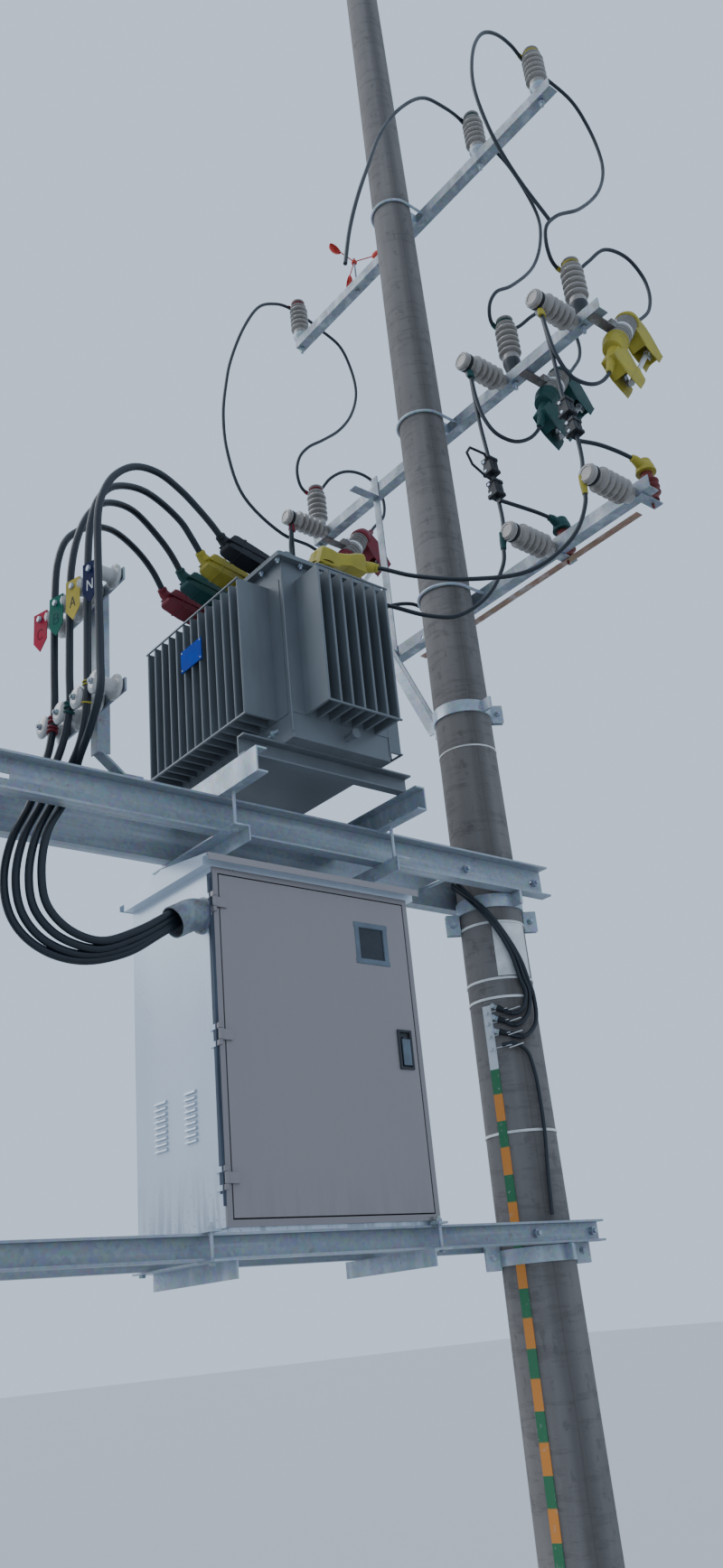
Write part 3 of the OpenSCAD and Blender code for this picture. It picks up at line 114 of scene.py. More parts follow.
# Routes of the leads, in millimetres, as the CAD source has them
ROUTES = {
    "red_cable": [
        (-1510, 236, 4474), (-1580, 208, 4545), (-1680, 166, 4590), (-1820, 108, 4600),
        (-1944, 56, 4543), (-2034, 19, 4462), (-2098, -8, 4372), (-2135, -22, 4250),
        (-2146, -27, 4100), (-2146, -27, 3800), (-2144, -27, 3600), (-2160, -22, 3450),
        (-2195, -18, 3330), (-2225, -16, 3230), (-2290, -20, 3085), (-2318, -30, 2936),
        (-2300, -45, 2813), (-2250, -60, 2737), (-2164, -75, 2686), (-2050, -90, 2672),
        (-1900, -105, 2715), (-1790, -120, 2785), (-1700, -126, 2845),
    ],
    "green_cable": [
        (-1515, 79, 4479), (-1580, 55, 4540), (-1652, 28, 4580), (-1810, -31, 4622),
        (-1962, -88, 4562), (-2062, -125, 4437), (-2117, -146, 4293), (-2143, -156, 4158),
        (-2150, -158, 4039), (-2151, -158, 3704), (-2150, -158, 3560), (-2155, -120, 3440),
        (-2175, -75, 3330), (-2200, -60, 3230), (-2262, -55, 3090), (-2290, -60, 2940),
        (-2272, -70, 2820), (-2215, -80, 2742), (-2125, -90, 2698), (-2030, -100, 2692),
        (-1895, -112, 2735), (-1780, -122, 2805), (-1700, -128, 2862),
    ],
    "yellow_cable": [
        (-1510, -74, 4480), (-1570, -94, 4535), (-1637, -116, 4583), (-1836, -182, 4606),
        (-2010, -240, 4522), (-2093, -268, 4408), (-2126, -279, 4303), (-2139, -283, 4201),
        (-2146, -285, 3968), (-2147, -285, 3643), (-2147, -284, 3540), (-2135, -220, 3420),
        (-2130, -125, 3345), (-2172, -95, 3230), (-2232, -90, 3095), (-2258, -90, 2945),
        (-2240, -95, 2828), (-2175, -102, 2752), (-2085, -110, 2715), (-2010, -116, 2712),
        (-1890, -124, 2758), (-1775, -130, 2825), (-1700, -132, 2878),
    ],
    "black_cable": [
        (-1510, -229, 4471), (-1570, -248, 4505), (-1645, -269, 4540), (-1740, -297, 4572),
        (-1863, -332, 4585), (-1990, -369, 4538), (-2098, -400, 4428), (-2156, -417, 4309),
        (-2176, -423, 4216), (-2177, -423, 3990), (-2170, -421, 3620), (-2172, -422, 3500),
        (-2145, -300, 3420), (-2115, -160, 3366), (-2110, -120, 3320), (-2145, -116, 3220),
        (-2205, -116, 3100), (-2226, -116, 2950), (-2205, -118, 2836), (-2130, -122, 2762),
        (-2020, -128, 2734), (-1890, -134, 2780), (-1700, -138, 2894),
    ],
    "red_upper": [
        (40, 1080, 5800), (-150, 1100, 5830), (-391, 1130, 6022), (-490, 1130, 6300),
        (-506, 1130, 6577), (-470, 1130, 6850), (-428, 1130, 7043), (-300, 1130, 7400),
        (-148, 1145, 7670), (0, 1165, 7790), (90, 1180, 7838), (163, 1182, 7842),
        (240, 1172, 7818), (365, 1150, 7745), (502, 1130, 7659), (582, 1130, 7503),
        (608, 1130, 7304), (543, 1130, 7082), (420, 1130, 6892), (267, 1130, 6739),
        (140, 1132, 6625), (66, 1140, 6515), (50, 1155, 6405), (90, 1172, 6315),
        (163, 1176, 6292), (223, 1165, 6334), (285, 1120, 6430), (385, 1090, 6508),
        (496, 1070, 6530), (600, 1060, 6500), (672, 1060, 6390), (660, 1060, 6250),
        (560, 1060, 6120), (496, 1060, 6024),
    ],
    "green_upper": [
        (-977, -580, 6005), (-925, -580, 6250), (-848, -580, 6514), (-740, -580, 6820),
        (-626, -580, 7121), (-450, -580, 7450), (-219, -575, 7725), (-40, -560, 7800),
        (90, -538, 7848), (163, -530, 7842), (248, -540, 7806), (417, -565, 7690),
        (538, -580, 7514), (618, -580, 7344), (598, -580, 7150), (476, -580, 6863),
        (235, -580, 6572), (104, -572, 6456), (70, -545, 6370), (100, -512, 6306),
        (163, -499, 6292), (225, -508, 6310), (290, -540, 6345), (362, -590, 6420),
        (500, -622, 6530), (630, -628, 6500), (680, -630, 6374), (665, -630, 6260),
        (580, -630, 6130), (496, -630, 6024),
    ],
    "yellow_upper": [
        (-30, -1085, 6420), (-177, -1060, 6622), (-280, -1060, 6750), (-349, -1060, 6884),
        (-400, -1060, 7080), (-398, -1060, 7245), (-332, -1060, 7507), (-230, -1060, 7690),
        (-114, -1055, 7780), (40, -1030, 7846), (163, -1010, 7842), (290, -1030, 7790),
        (462, -1060, 7692), (569, -1060, 7565), (624, -1060, 7385), (616, -1060, 7236),
        (521, -1060, 7017), (288, -1060, 6727), (91, -1048, 6562), (7, -1030, 6444),
        (12, -1010, 6362), (60, -985, 6306), (110, -972, 6292), (163, -969, 6292),
        (240, -978, 6318), (335, -1015, 6420), (460, -1055, 6550), (620, -1075, 6570),
        (720, -1082, 6490), (735, -1088, 6370), (690, -1090, 6230), (600, -1090, 6120),
        (496, -1090, 6028),
    ],
    "yellow_lower": [
        (207, -1090, 5610), (196, -1090, 5560), (126, -1075, 5470), (40, -1060, 5426), (-50, -1040, 5440),
        (-110, -1020, 5560), (-122, -1006, 5700), (-122, -992, 5855), (-112, -1003, 5547),
        (-116, -1016, 5289), (-122, -1048, 5090), (-124, -1055, 4918), (-150, -1055, 4790),
        (-158, -1050, 4667), (-209, -985, 4506), (-327, -828, 4389), (-480, -624, 4408),
        (-632, -421, 4488), (-730, -290, 4570), (-785, -258, 4555),
    ],
    "green_lower": [
        (207, -630, 5610), (196, -630, 5560), (120, -610, 5460), (30, -580, 5420), (-60, -550, 5450),
        (-104, -520, 5560), (-118, -505, 5700), (-120, -498, 5860), (-111, -496, 5566),
        (-117, -524, 5283), (-118, -540, 5050), (-130, -556, 4880), (-160, -562, 4760),
        (-177, -556, 4633), (-247, -489, 4471), (-351, -389, 4389), (-447, -298, 4408),
        (-578, -174, 4489), (-730, -20, 4572), (-785, -4, 4555),
    ],
    "red_lower": [
        (207, 1060, 5610), (196, 1060, 5560), (120, 1065, 5460), (20, 1065, 5420), (-70, 1060, 5460),
        (-112, 1050, 5600), (-122, 1042, 5760), (-124, 1036, 5900), (-140, 1035, 5780),
        (-160, 1020, 5640), (-190, 900, 5300), (-180, 600, 4950), (-150, 378, 4830),
        (-140, 370, 4740), (-200, 340, 4640), (-350, 310, 4560), (-550, 280, 4540),
        (-730, 255, 4568), (-785, 251, 4555),
    ],
    "yellow_branch": [
        (-118, -1051, 5026), (-11, -1080, 5032), (95, -1109, 5016), (175, -1128, 4996),
    ],
    "green_branch": [
        (-130, -556, 5014), (19, -584, 5007), (100, -600, 5000), (175, -610, 4992),
    ],
    "red_branch": [
        (-170, 560, 4910), (20, 420, 5010), (110, 350, 5010), (175, 332, 4992),
    ],
}
EARTH_ROUTES = [
    [(-175, 40, 3250), (-160, -60, 3140), (-120, -125, 3030), (-70, -156, 2900),
     (-40, -160, 2790), (-20, -162, 2730), (-50, -156, 2655), (-95, -134, 2640),
     (-130, -95, 2668)],
    [(-190, -10, 3250), (-150, -90, 3120), (-100, -140, 3010), (-50, -164, 2890),
     (-20, -166, 2790), (0, -166, 2730), (-30, -160, 2630), (-85, -140, 2590),
     (-132, -95, 2620)],
    [(-205, 10, 3250), (-140, -110, 3100), (-80, -152, 2980), (-30, -170, 2870),
     (0, -170, 2780), (20, -168, 2720), (10, -166, 2600), (-60, -152, 2540),
     (-134, -94, 2566)],
    [(-136, -92, 2513), (-95, -132, 2512), (-55, -153, 2480), (-35, -160, 2400),
     (-28, -162, 2300), (-30, -163, 2150), (-42, -160, 2000), (-52, -158, 1827)],
]

LEADS = {name: np.array(route) / 1000 for name, route in ROUTES.items()}
EARTH_LEADS = [np.array(route) / 1000 for route in EARTH_ROUTES]
# Red upper lead's free end, carried on until the tank's cover hides it
RED_END = [(0.215, 1.070, 5.715), (0.130, 1.075, 5.762)]
# Lead, point, share of the way to the next point, and length of each clamp
LEAD_CLAMPS = (
    ("yellow_lower", 9, 0.30, 0.100), ("yellow_lower", 9, 0.95, 0.085),
    ("green_lower", 9, 0.22, 0.100), ("green_lower", 9, 0.82, 0.100), ("red_lower", 11, 0.2, 0.090),
)
# Strokes of the tags' letters, as shares of their width and height
LETTERS = (
    (((0, 0), (0, 1)), ((0, 1), (0.7, 0)), ((0.7, 0), (0.7, 1))),
    (((0, 0), (0.35, 1)), ((0.35, 1), (0.7, 0)), ((0.14, 0.36), (0.56, 0.36))),
    (((0, 0), (0, 1)), ((0, 1), (0.42, 1), (0.6, 0.88), (0.6, 0.66), (0.42, 0.53), (0, 0.53)),
     ((0.42, 0.53), (0.68, 0.42), (0.68, 0.12), (0.46, 0), (0, 0))),
    (((0.7, 0.8), (0.52, 0.98), (0.22, 0.98), (0.02, 0.75), (0, 0.5), (0.02, 0.25), (0.22, 0.02),
      (0.52, 0.02), (0.7, 0.2)),),
)


def unit(v):
    """Vectors scaled to length one along their last axis."""
    v = np.asarray(v, float)
    return v / np.maximum(np.linalg.norm(v, axis=-1, keepdims=True), 1e-12)


def smooth_line(points, steps=8):
    """Points of a smooth line through the given ones, several to a span.

    Each span is a cubic whose end slopes are the chord between the points on
    either side, scaled by the span's own share of that chord (Catmull-Rom).
    """
    p = np.asarray(points, float)
    chord = np.maximum(np.linalg.norm(np.diff(p, axis=0), axis=1), 1e-9)
    knots = np.concatenate([[0.0], np.cumsum(np.sqrt(chord))])
    slope = np.gradient(p, knots, axis=0)
    t = np.linspace(0, 1, steps, endpoint=False)[None, :, None]
    span = np.diff(knots)[:, None, None]
    line = (
        (2 * t**3 - 3 * t**2 + 1) * p[:-1, None]
        + (t**3 - 2 * t**2 + t) * slope[:-1, None] * span
        + (3 * t**2 - 2 * t**3) * p[1:, None]
        + (t**3 - t**2) * slope[1:, None] * span
    )
    return np.vstack([line.reshape(-1, p.shape[1]), p[-1:]])


def net(rings, closed=True, caps=True):
    """Vertices and faces of a surface given as rings of points.

    rings has the shape (along, around, 3). Each face joins the neighbours i, j
    to i + 1, j + 1, and with caps the first and last ring are filled.
    """
    rings = np.asarray(rings, float)
    along, around = rings.shape[:2]
    i = np.arange(along - 1)[:, None]
    j = np.arange(around if closed else around - 1)[None, :]
    k = (j + 1) % around
    quads = np.stack(
        [i * around + j, i * around + k, (i + 1) * around + k, (i + 1) * around + j], -1
    )
    faces = quads.reshape(-1, 4).tolist()
    if caps:
        faces.append(list(range(around))[::-1])
        faces.append(list(range((along - 1) * around, along * around)))
    return rings.reshape(-1, 3), faces


def joined(parts):
    """One set of vertices and faces out of several."""
    vertices, faces, start = [], [], 0
    for points, polygons in parts:
        vertices.append(points)
        faces += [[index + start for index in polygon] for polygon in polygons]
        start += len(points)
    return np.vstack(vertices), faces


def moved(part, origin, axes):
    """Surface drawn in local axes, put at an origin."""
    vertices, faces = part
    return vertices @ np.asarray(axes, float) + np.asarray(origin, float), faces


def swept(line, half_width, half_height, power=2.0, sides=24, reference=(0, 1, 0)):
    """Surface with a rounded cross-section carried along a line.

    Around each point the section is |x / width|^p + |y / height|^p = 1, where
    y follows the reference as far as it can and p is the power: 2 is an
    ellipse and 4 is nearly a box.
    """
    line = np.asarray(line, float)
    width = np.broadcast_to(half_width, (len(line),)).astype(float)
    height = np.broadcast_to(half_height, (len(line),)).astype(float)
    tangent = unit(np.gradient(line, axis=0))
    side = unit(np.cross(np.broadcast_to(unit(reference), tangent.shape), tangent))
    up = np.cross(tangent, side)
    turn = np.linspace(0, 2 * math.pi, sides, endpoint=False)
    across, rise = (
        np.sign(wave) * np.abs(wave) ** (2 / power) for wave in (np.cos(turn), np.sin(turn))
    )
    return net(
        line[:, None]
        + side[:, None] * (width[:, None] * across)[..., None]
        + up[:, None] * (height[:, None] * rise)[..., None]
    )


def tube(points, radius, sides):
    """Round tube along the smooth line through the points."""
    return swept(smooth_line(points, 6), radius, radius, sides=sides)


def nozzle(points, root, mouth):
    """Tapered sleeve along a smooth line, with a rolled rim at its mouth."""
    line = smooth_line(points, 6)
    radius = root + (mouth - root) * np.linspace(0, 1, len(line)) ** 0.8
    radius[-3:-1] += 0.0025
    return swept(line, radius, radius, sides=20)


def near(route, place, reach):
    """Part of the smooth line along a route within a reach of a place."""
    line = smooth_line(route)
    along = np.concatenate([[0], np.cumsum(np.linalg.norm(np.diff(line, axis=0), axis=1))])
    middle = along[np.argmin(np.linalg.norm(line - np.asarray(place), axis=1))]
    keep = np.linspace(max(0, middle - reach), min(along[-1], middle + reach), 13)
    return np.stack([np.interp(keep, along, line[:, k]) for k in range(3)], 1)


def turned(profile, origin, axis=(0, 0, 1), sides=48, caps=True):
    """Surface turned about an axis: radius and height pairs round a full turn."""
    profile = np.asarray(profile, float)
    axis = unit(axis)
    helper = np.array([1.0, 0, 0]) if abs(axis[0]) < 0.9 else np.array([0, 1.0, 0])
    across = unit(np.cross(axis, helper))
    other = np.cross(axis, across)
    turn = np.linspace(0, 2 * math.pi, sides, endpoint=False)
    spoke = np.cos(turn)[:, None] * across + np.sin(turn)[:, None] * other
    rings = np.asarray(origin, float) + profile[:, None, :1] * spoke + profile[:, None, 1:] * axis
    return net(rings, caps=caps)


def torus(centre, axis, radius, thick):
    """Ring of round bar: a small circle turned about an axis."""
    turn = np.linspace(0, 2 * math.pi, 9)
    profile = np.stack([radius + thick * np.cos(turn), thick * np.sin(turn)], 1)
    return turned(profile, centre, axis, 32, caps=False)


def nut(centre, axis, flats, height):
    """Hexagonal nut with its corners turned off at both faces."""
    corner = flats / math.sqrt(3)
    profile = [
        (corner * 0.88, -height / 2), (corner, -height * 0.36), (corner, height * 0.36),
        (corner * 0.88, height / 2),
    ]
    return turned(profile, centre, axis, 6)


def shank(middle, axis, half):
    """Bolt's shank through a place, with its ends turned off."""
    profile = [(0.007, -half), (0.008, 0.002 - half), (0.008, half - 0.002), (0.007, half)]
    return turned(profile, middle, axis, 16)


def block(centre, size, axes=None, bevel=0.0):
    """Box with bevelled edges, as rings of an eight-sided outline.

    The outline is the rectangle with its corners cut, and it shrinks by the
    bevel at both ends.
    """
    a, b, c = np.asarray(size, float) / 2
    axes = np.eye(3) if axes is None else np.asarray(axes, float)
    bevel = min(bevel, 0.45 * min(a, b, c)) if bevel > 0 else 0.02 * min(a, b, c)
    rings = []
    for z, x, y in (
        (-c, a - bevel, b - bevel), (-c + bevel, a, b), (c - bevel, a, b), (c, a - bevel, b - bevel)
    ):
        rings.append([
            (x, -y + bevel, z), (x, y - bevel, z), (x - bevel, y, z), (-x + bevel, y, z),
            (-x, y - bevel, z), (-x, -y + bevel, z), (-x + bevel, -y, z), (x - bevel, -y, z),
        ])
    return net(np.asarray(centre, float) + np.array(rings) @ axes)


def prism(outline, start, end):
    """Plate with an outline in X and Z, from one Y to another."""
    flat = np.asarray(outline, float)
    return net([np.insert(flat, 1, y, axis=1) for y in (start, end)])


def shell(stations, ring):
    """Surface through stations along X: (foot x, foot z, top x, top z, half width, cut).

    A ring's points are foot + share * (top - foot) in X and Z. The ring
    function gives each point's share and its Y from the stations' height,
    half width and cut.
    """
    rows = np.asarray(stations, float)
    foot, top = rows[:, None, 0:2], rows[:, None, 2:4]
    height = np.linalg.norm(rows[:, 2:4] - rows[:, 0:2], axis=1)
    share, across = (np.stack(values, 1) for values in ring(height, rows[:, 4], rows[:, 5]))
    points = foot + share[..., None] * (top - foot)
    return net(np.stack([points[..., 0], across, points[..., 1]], -1))


def cover_shell(stations, middle=0.0, lip=0.004):
    """Moulded box cover along X, whose upper corners are cut.

    The sides stand half a width from the middle, the cut takes its own length
    off both ways, and a lip stands out along the foot.
    """
    def ring(height, half, cut):
        zero, thin, shoulder = 0 * height, 0.005 / height, 1 - cut / height
        rise = [zero, thin, thin, shoulder, zero + 1]
        side = [half + lip, half + lip, half, half, half - cut]
        return rise + rise[::-1], [middle - y for y in side] + [middle + y for y in side[::-1]]

    return shell(stations, ring)


def hood_shell(stations, wall=0.004):
    """Open-bottomed hood along X: a cut-cornered arch with an inner face.

    The ring goes up the outer face of the arch, over it and down, and returns
    along the inner face one wall inside.
    """
    def ring(height, half, cut):
        zero, inner, shoulder = 0 * height, 1 - wall / height, 1 - cut / height
        outside, inside = [zero, shoulder, zero + 1], [zero, shoulder, inner]
        arch, lining = [half, half, half - cut], [half - wall, half - wall, half - cut]
        return (
            outside + outside[::-1] + inside + inside[::-1],
            [-y for y in arch] + arch[::-1] + lining + [-y for y in lining[::-1]],
        )

    return shell(stations, ring)


def rim_bars(low, high, y, band, depth, wider=0.0, shorter=0.0, bevel=0.002):
    """Four bars round an opening in X and Z: foot and head, then both sides."""
    middle, size = (low + high) / 2, high - low
    across = [
        block(
            (middle[0], y, middle[2] + side * (size[2] - band) / 2),
            (size[0] + wider, depth, band), bevel=bevel,
        )
        for side in (-1, 1)
    ]
    upright = [
        block(
            (middle[0] + side * (size[0] - band) / 2, y, middle[2]),
            (band, depth - 0.0002, size[2] - shorter), bevel=bevel,
        )
        for side in (-1, 1)
    ]
    return across + upright


def piece(name, parts, look, body=STRUCTURE, replaces=(), bevel=0.0):
    """New object of the part, at the origin, riding on a body of the frame."""
    vertices, faces = joined(parts)
    mesh = bpy.data.meshes.new(name)
    mesh.from_pydata(vertices.tolist(), [], faces)
    mesh.validate()
    shape = bmesh.new()
    shape.from_mesh(mesh)
    bmesh.ops.remove_doubles(shape, verts=shape.verts, dist=1e-6)
    bmesh.ops.recalc_face_normals(shape, faces=shape.faces)
    shape.to_mesh(mesh)
    shape.free()
    mesh.polygons.foreach_set("use_smooth", np.ones(len(mesh.polygons), bool))
    mesh.set_sharp_from_angle(angle=SHARP_ANGLE)
    mesh.materials.append(finishes()[look])
    made = bpy.data.objects.new(name, mesh)
    bpy.context.scene.collection.objects.link(made)
    if bevel > 0:
        edge = made.modifiers.new("Rounded edges", "BEVEL")
        edge.width = bevel
        edge.segments = 2
        edge.limit_method = "ANGLE"
        edge.angle_limit = SHARP_ANGLE
        edge.harden_normals = True
    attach(made, body)
    if replaces:
        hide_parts(*replaces)
    return made


def zinc_piece(name, parts):
    """Piece of bright zinc, such as nuts and bolts."""
    return piece(name, parts, "new_zinc")


def dress(look, *nodes):
    """Gives CAD nodes a material."""
    for node in nodes:
        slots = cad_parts[node].data.materials
        slots.clear()
        slots.append(finishes()[look])


class Finish:
    """Node graph of one material, which reads object coordinates."""

    def __init__(self, name, roughness=0.5, metallic=0.0, **fixed):
        self.material = bpy.data.materials.new(name)
        self.material.use_nodes = True
        self.nodes = self.material.node_tree.nodes
        self.links = self.material.node_tree.links
        self.shader = self.nodes["Principled BSDF"]
        self.place = self.nodes.new("ShaderNodeTexCoord").outputs["Object"]
        fixed.update(Roughness=roughness, Metallic=metallic)
        for socket, value in fixed.items():
            self.shader.inputs[socket.replace("_", " ")].default_value = value

    def join(self, value, socket):
        """Links an output to a socket, or sets a plain value on it."""
        if isinstance(value, bpy.types.NodeSocket):
            self.links.new(value, socket)
        elif socket.type == "RGBA":
            socket.default_value = (*tuple(value)[:3], 1.0)
        else:
            socket.default_value = value

    def pattern(self, kind, scale, stretch):
        """Texture node on the object's coordinates, stretched along its axes."""
        placed = self.nodes.new("ShaderNodeMapping")
        self.links.new(self.place, placed.inputs["Vector"])
        placed.inputs["Scale"].default_value = stretch
        node = self.nodes.new(kind)
        self.links.new(placed.outputs["Vector"], node.inputs["Vector"])
        node.inputs["Scale"].default_value = scale
        return node

    def noise(self, scale, detail=4.0, stretch=(1, 1, 1), roughness=0.55):
        """Cloudy pattern from 0 to 1."""
        node = self.pattern("ShaderNodeTexNoise", scale, stretch)
        node.inputs["Detail"].default_value = detail
        node.inputs["Roughness"].default_value = roughness
        return node.outputs["Fac"]

    def spangle(self, scale):
        """Coloured cells, such as the spangle of zinc."""
        return self.pattern("ShaderNodeTexVoronoi", scale, (1, 1, 1)).outputs["Color"]

    def axis(self, name):
        """One object coordinate, in metres."""
        node = self.nodes.new("ShaderNodeSeparateXYZ")
        self.links.new(self.place, node.inputs[0])
        return node.outputs[name]

    def math(self, operation, a, b=0.0):
        """Sum, product or other operation on two values."""
        node = self.nodes.new("ShaderNodeMath")
        node.operation = operation
        self.join(a, node.inputs[0])
        self.join(b, node.inputs[1])
        return node.outputs[0]

    def steps(self, value, stops):
        """Value from 0 to 1 turned into grey levels or colours by (place, level) stops."""
        node = self.nodes.new("ShaderNodeValToRGB")
        ramp = node.color_ramp
        while len(ramp.elements) < len(stops):
            ramp.elements.new(0.5)
        for element, (position, level) in zip(ramp.elements, stops):
            element.position = position
            element.color = (level, level, level, 1) if isinstance(level, (int, float)) else (*level, 1)
        self.join(value, node.inputs["Fac"])
        return node.outputs["Color"]

    def patches(self, low, high, *noise, **options):
        """Noise cut into patches: 0 below the low level, 1 above the high one."""
        return self.steps(self.noise(*noise, **options), [(low, 0.0), (high, 1.0)])

    def mix(self, share, a, b, blend="MIX"):
        """Colours a and b mixed by a share that varies over the surface."""
        node = self.nodes.new("ShaderNodeMix")
        node.data_type = "RGBA"
        node.blend_type = blend
        self.join(share, node.inputs[0])
        self.join(a, node.inputs[6])
        self.join(b, node.inputs[7])
        return node.outputs[2]

    def wash(self, colour, share, amount, tint):
        """Colour taken towards a tint, by an amount of a share that varies."""
        return self.mix(self.math("MULTIPLY", share, amount), colour, tint)

    def bump(self, height, strength, distance):
        """Relief of a pattern, in metres, on the shader's normal."""
        node = self.nodes.new("ShaderNodeBump")
        node.inputs["Strength"].default_value = strength
        node.inputs["Distance"].default_value = distance
        self.join(height, node.inputs["Height"])
        self.links.new(node.outputs["Normal"], self.shader.inputs["Normal"])

    def paint(self, colour, roughness=None):
        """Links the finished colour, and roughness where it varies."""
        self.join(colour, self.shader.inputs["Base Color"])
        if roughness is not None:
            self.join(roughness, self.shader.inputs["Roughness"])
        return self.material


def shade(colour, factor):
    """Colour made lighter or darker."""
    return tuple(min(1.0, channel * factor) for channel in colour)


def concrete(name, middle_x, base):
    """Spun concrete: cloudy greys, form marks across, streaks, a stain and a crack."""
    f = Finish(name, roughness=0.92)
    clouds = f.noise(2.6, 7, (1, 1, 0.6))
    marks = f.patches(0.52, 0.62, 3.0, 5, (1.6, 1.6, 9), roughness=0.7)
    streaks = f.patches(0.45, 0.7, 5.0, 4, (3, 3, 0.25))
    blots = f.patches(0.60, 0.66, 14, 4, (1.5, 1.5, 1))
    grain = f.noise(120, 3)
    turn = f.math("ARCTAN2", f.axis("Y"), f.math("SUBTRACT", f.axis("X"), middle_x))
    share = f.math("ADD", f.math("DIVIDE", turn, 2 * math.pi), 0.5)
    wobble = f.math("ADD", share, f.math("MULTIPLY", f.noise(1.3, 3), 0.02))
    stain = f.steps(wobble, [(0.135, 0.0), (0.165, 0.9), (0.205, 1.0), (0.25, 0.0)])
    crack = f.steps(wobble, [(0.186, 0.0), (0.190, 1.0), (0.194, 0.0)])
    colour = f.mix(clouds, shade(base, 0.62), shade(base, 1.3))
    for share, amount, tone in (
        (marks, 0.45, 0.5), (streaks, 0.3, 1.5), (stain, 0.55, 0.38), (crack, 0.6, 0.28),
        (blots, 0.4, 0.4), (grain, 0.35, 0.7),
    ):
        colour = f.wash(colour, share, amount, shade(base, tone))
    relief = f.math("ADD", clouds, f.math("MULTIPLY", marks, -0.6))
    f.bump(f.math("ADD", f.math("MULTIPLY", grain, 0.5), relief), 0.55, 0.004)
    return f.paint(colour)


def zinc(name, base, rust=0.0, roughness=0.42, grain=(1, 1, 0.25)):
    """Hot-dip zinc: faint spangle, dull clouds, white runs and a little rust."""
    f = Finish(name, metallic=0.35)
    clouds = f.noise(7, 6, (min(1, 2.5 * grain[0]), 1, 1))
    colour = f.mix(clouds, shade(base, 0.72), shade(base, 1.15))
    colour = f.mix(0.14, colour, f.spangle(70), "OVERLAY")
    colour = f.wash(colour, f.patches(0.5, 0.72, 14, 5, grain), 0.35, (0.72, 0.76, 0.80))
    if rust > 0:
        spots = f.patches(0.62 - 0.25 * rust, 0.72 - 0.1 * rust, 18, 8, roughness=0.75)
        colour = f.wash(colour, spots, min(1.0, 0.5 + rust), (0.16, 0.075, 0.035))
    f.bump(f.noise(260, 3), 0.12, 0.0008)
    return f.paint(colour, f.steps(clouds, [(0.3, roughness + 0.18), (0.7, roughness - 0.08)]))


def tank_coat(name, base):
    """Satin tank paint with dust that lies on it in soft clouds."""
    f = Finish(name, metallic=0.1)
    dust = f.patches(0.35, 0.75, 4.0, 7, (1, 1, 0.5))
    colour = f.wash(base, dust, 0.5, shade(base, 1.75))
    colour = f.wash(colour, f.patches(0.55, 0.8, 22, 4, (1, 1, 0.06)), 0.22, shade(base, 0.55))
    f.bump(f.noise(90, 2), 0.08, 0.001)
    return f.paint(colour, f.steps(dust, [(0.0, 0.36), (1.0, 0.58)]))


def sheet_metal(name, base, metallic, roughness, foot, drips, front=None):
    """Brushed or painted sheet, cloudy, with drip marks up from its foot.

    With front, a place and a colour, what lies nearer than that Y takes that colour as painted shade.
    """
    f = Finish(name, metallic=metallic)
    clouds = f.noise(1.6, 6, (1, 1, 0.7))
    fade = f.steps(f.math("SUBTRACT", f.axis("Z"), foot), [(0.0, 1.0), (0.22, 0.0)])
    marks = f.math("MAXIMUM", f.patches(0.47, 0.58, 26, 5, (1, 1, 0.12)), f.patches(0.6, 0.68, 55))
    colour = f.mix(clouds, shade(base, 0.9), shade(base, 1.12))
    colour = f.wash(colour, f.noise(60, 3, (1, 1, 0.02)), 0.12, shade(base, 0.7))
    colour = f.wash(colour, f.math("MULTIPLY", marks, fade), drips, shade(base, 0.45))
    # Painted shade: faces nearer than the front's Y take the given darker colour
    if front:
        colour = f.mix(f.math("LESS_THAN", f.axis("Y"), front[0]), colour, front[1])
    f.bump(clouds, 0.12, 0.01)
    return f.paint(colour, f.steps(clouds, [(0.3, roughness - 0.06), (0.7, roughness + 0.1)]))


def porcelain(name, base, gloss=0.16):
    """Glazed porcelain with faint clouds and grey grime."""
    f = Finish(name, roughness=gloss, Coat_Weight=0.5, Coat_Roughness=0.08)
    grime = f.patches(0.42, 0.72, 16, 6)
    colour = f.mix(f.noise(9, 3), shade(base, 0.85), shade(base, 1.12))
    colour = f.wash(colour, grime, 0.35, shade(base, 0.55))
    return f.paint(colour, f.steps(grime, [(0.0, gloss), (1.0, gloss + 0.25)]))


def silicone(name, base, roughness=0.55, specular=0.3):
    """Soft moulded rubber, sun-bleached in patches and dusty."""
    f = Finish(name, Specular_IOR_Level=specular)
    faded = f.patches(0.35, 0.75, 11, 5)
    colour = f.mix(faded, shade(base, 0.8), shade(base, 1.25))
    colour = f.wash(colour, f.noise(30, 5), 0.05, (0.32, 0.31, 0.29))
    f.bump(f.noise(180, 3), 0.15, 0.0008)
    return f.paint(colour, f.steps(faded, [(0.0, roughness - 0.1), (1.0, roughness + 0.15)]))


def jacket(name, base, roughness=0.45):
    """Extruded cable jacket with a dusty bloom."""
    f = Finish(name)
    bloom = f.patches(0.4, 0.8, 6, 6)
    f.bump(f.noise(140, 2), 0.1, 0.0006)
    return f.paint(
        f.wash(base, bloom, 0.5, shade(base, 2.6)),
        f.steps(bloom, [(0.0, roughness - 0.08), (1.0, roughness + 0.15)]),
    )


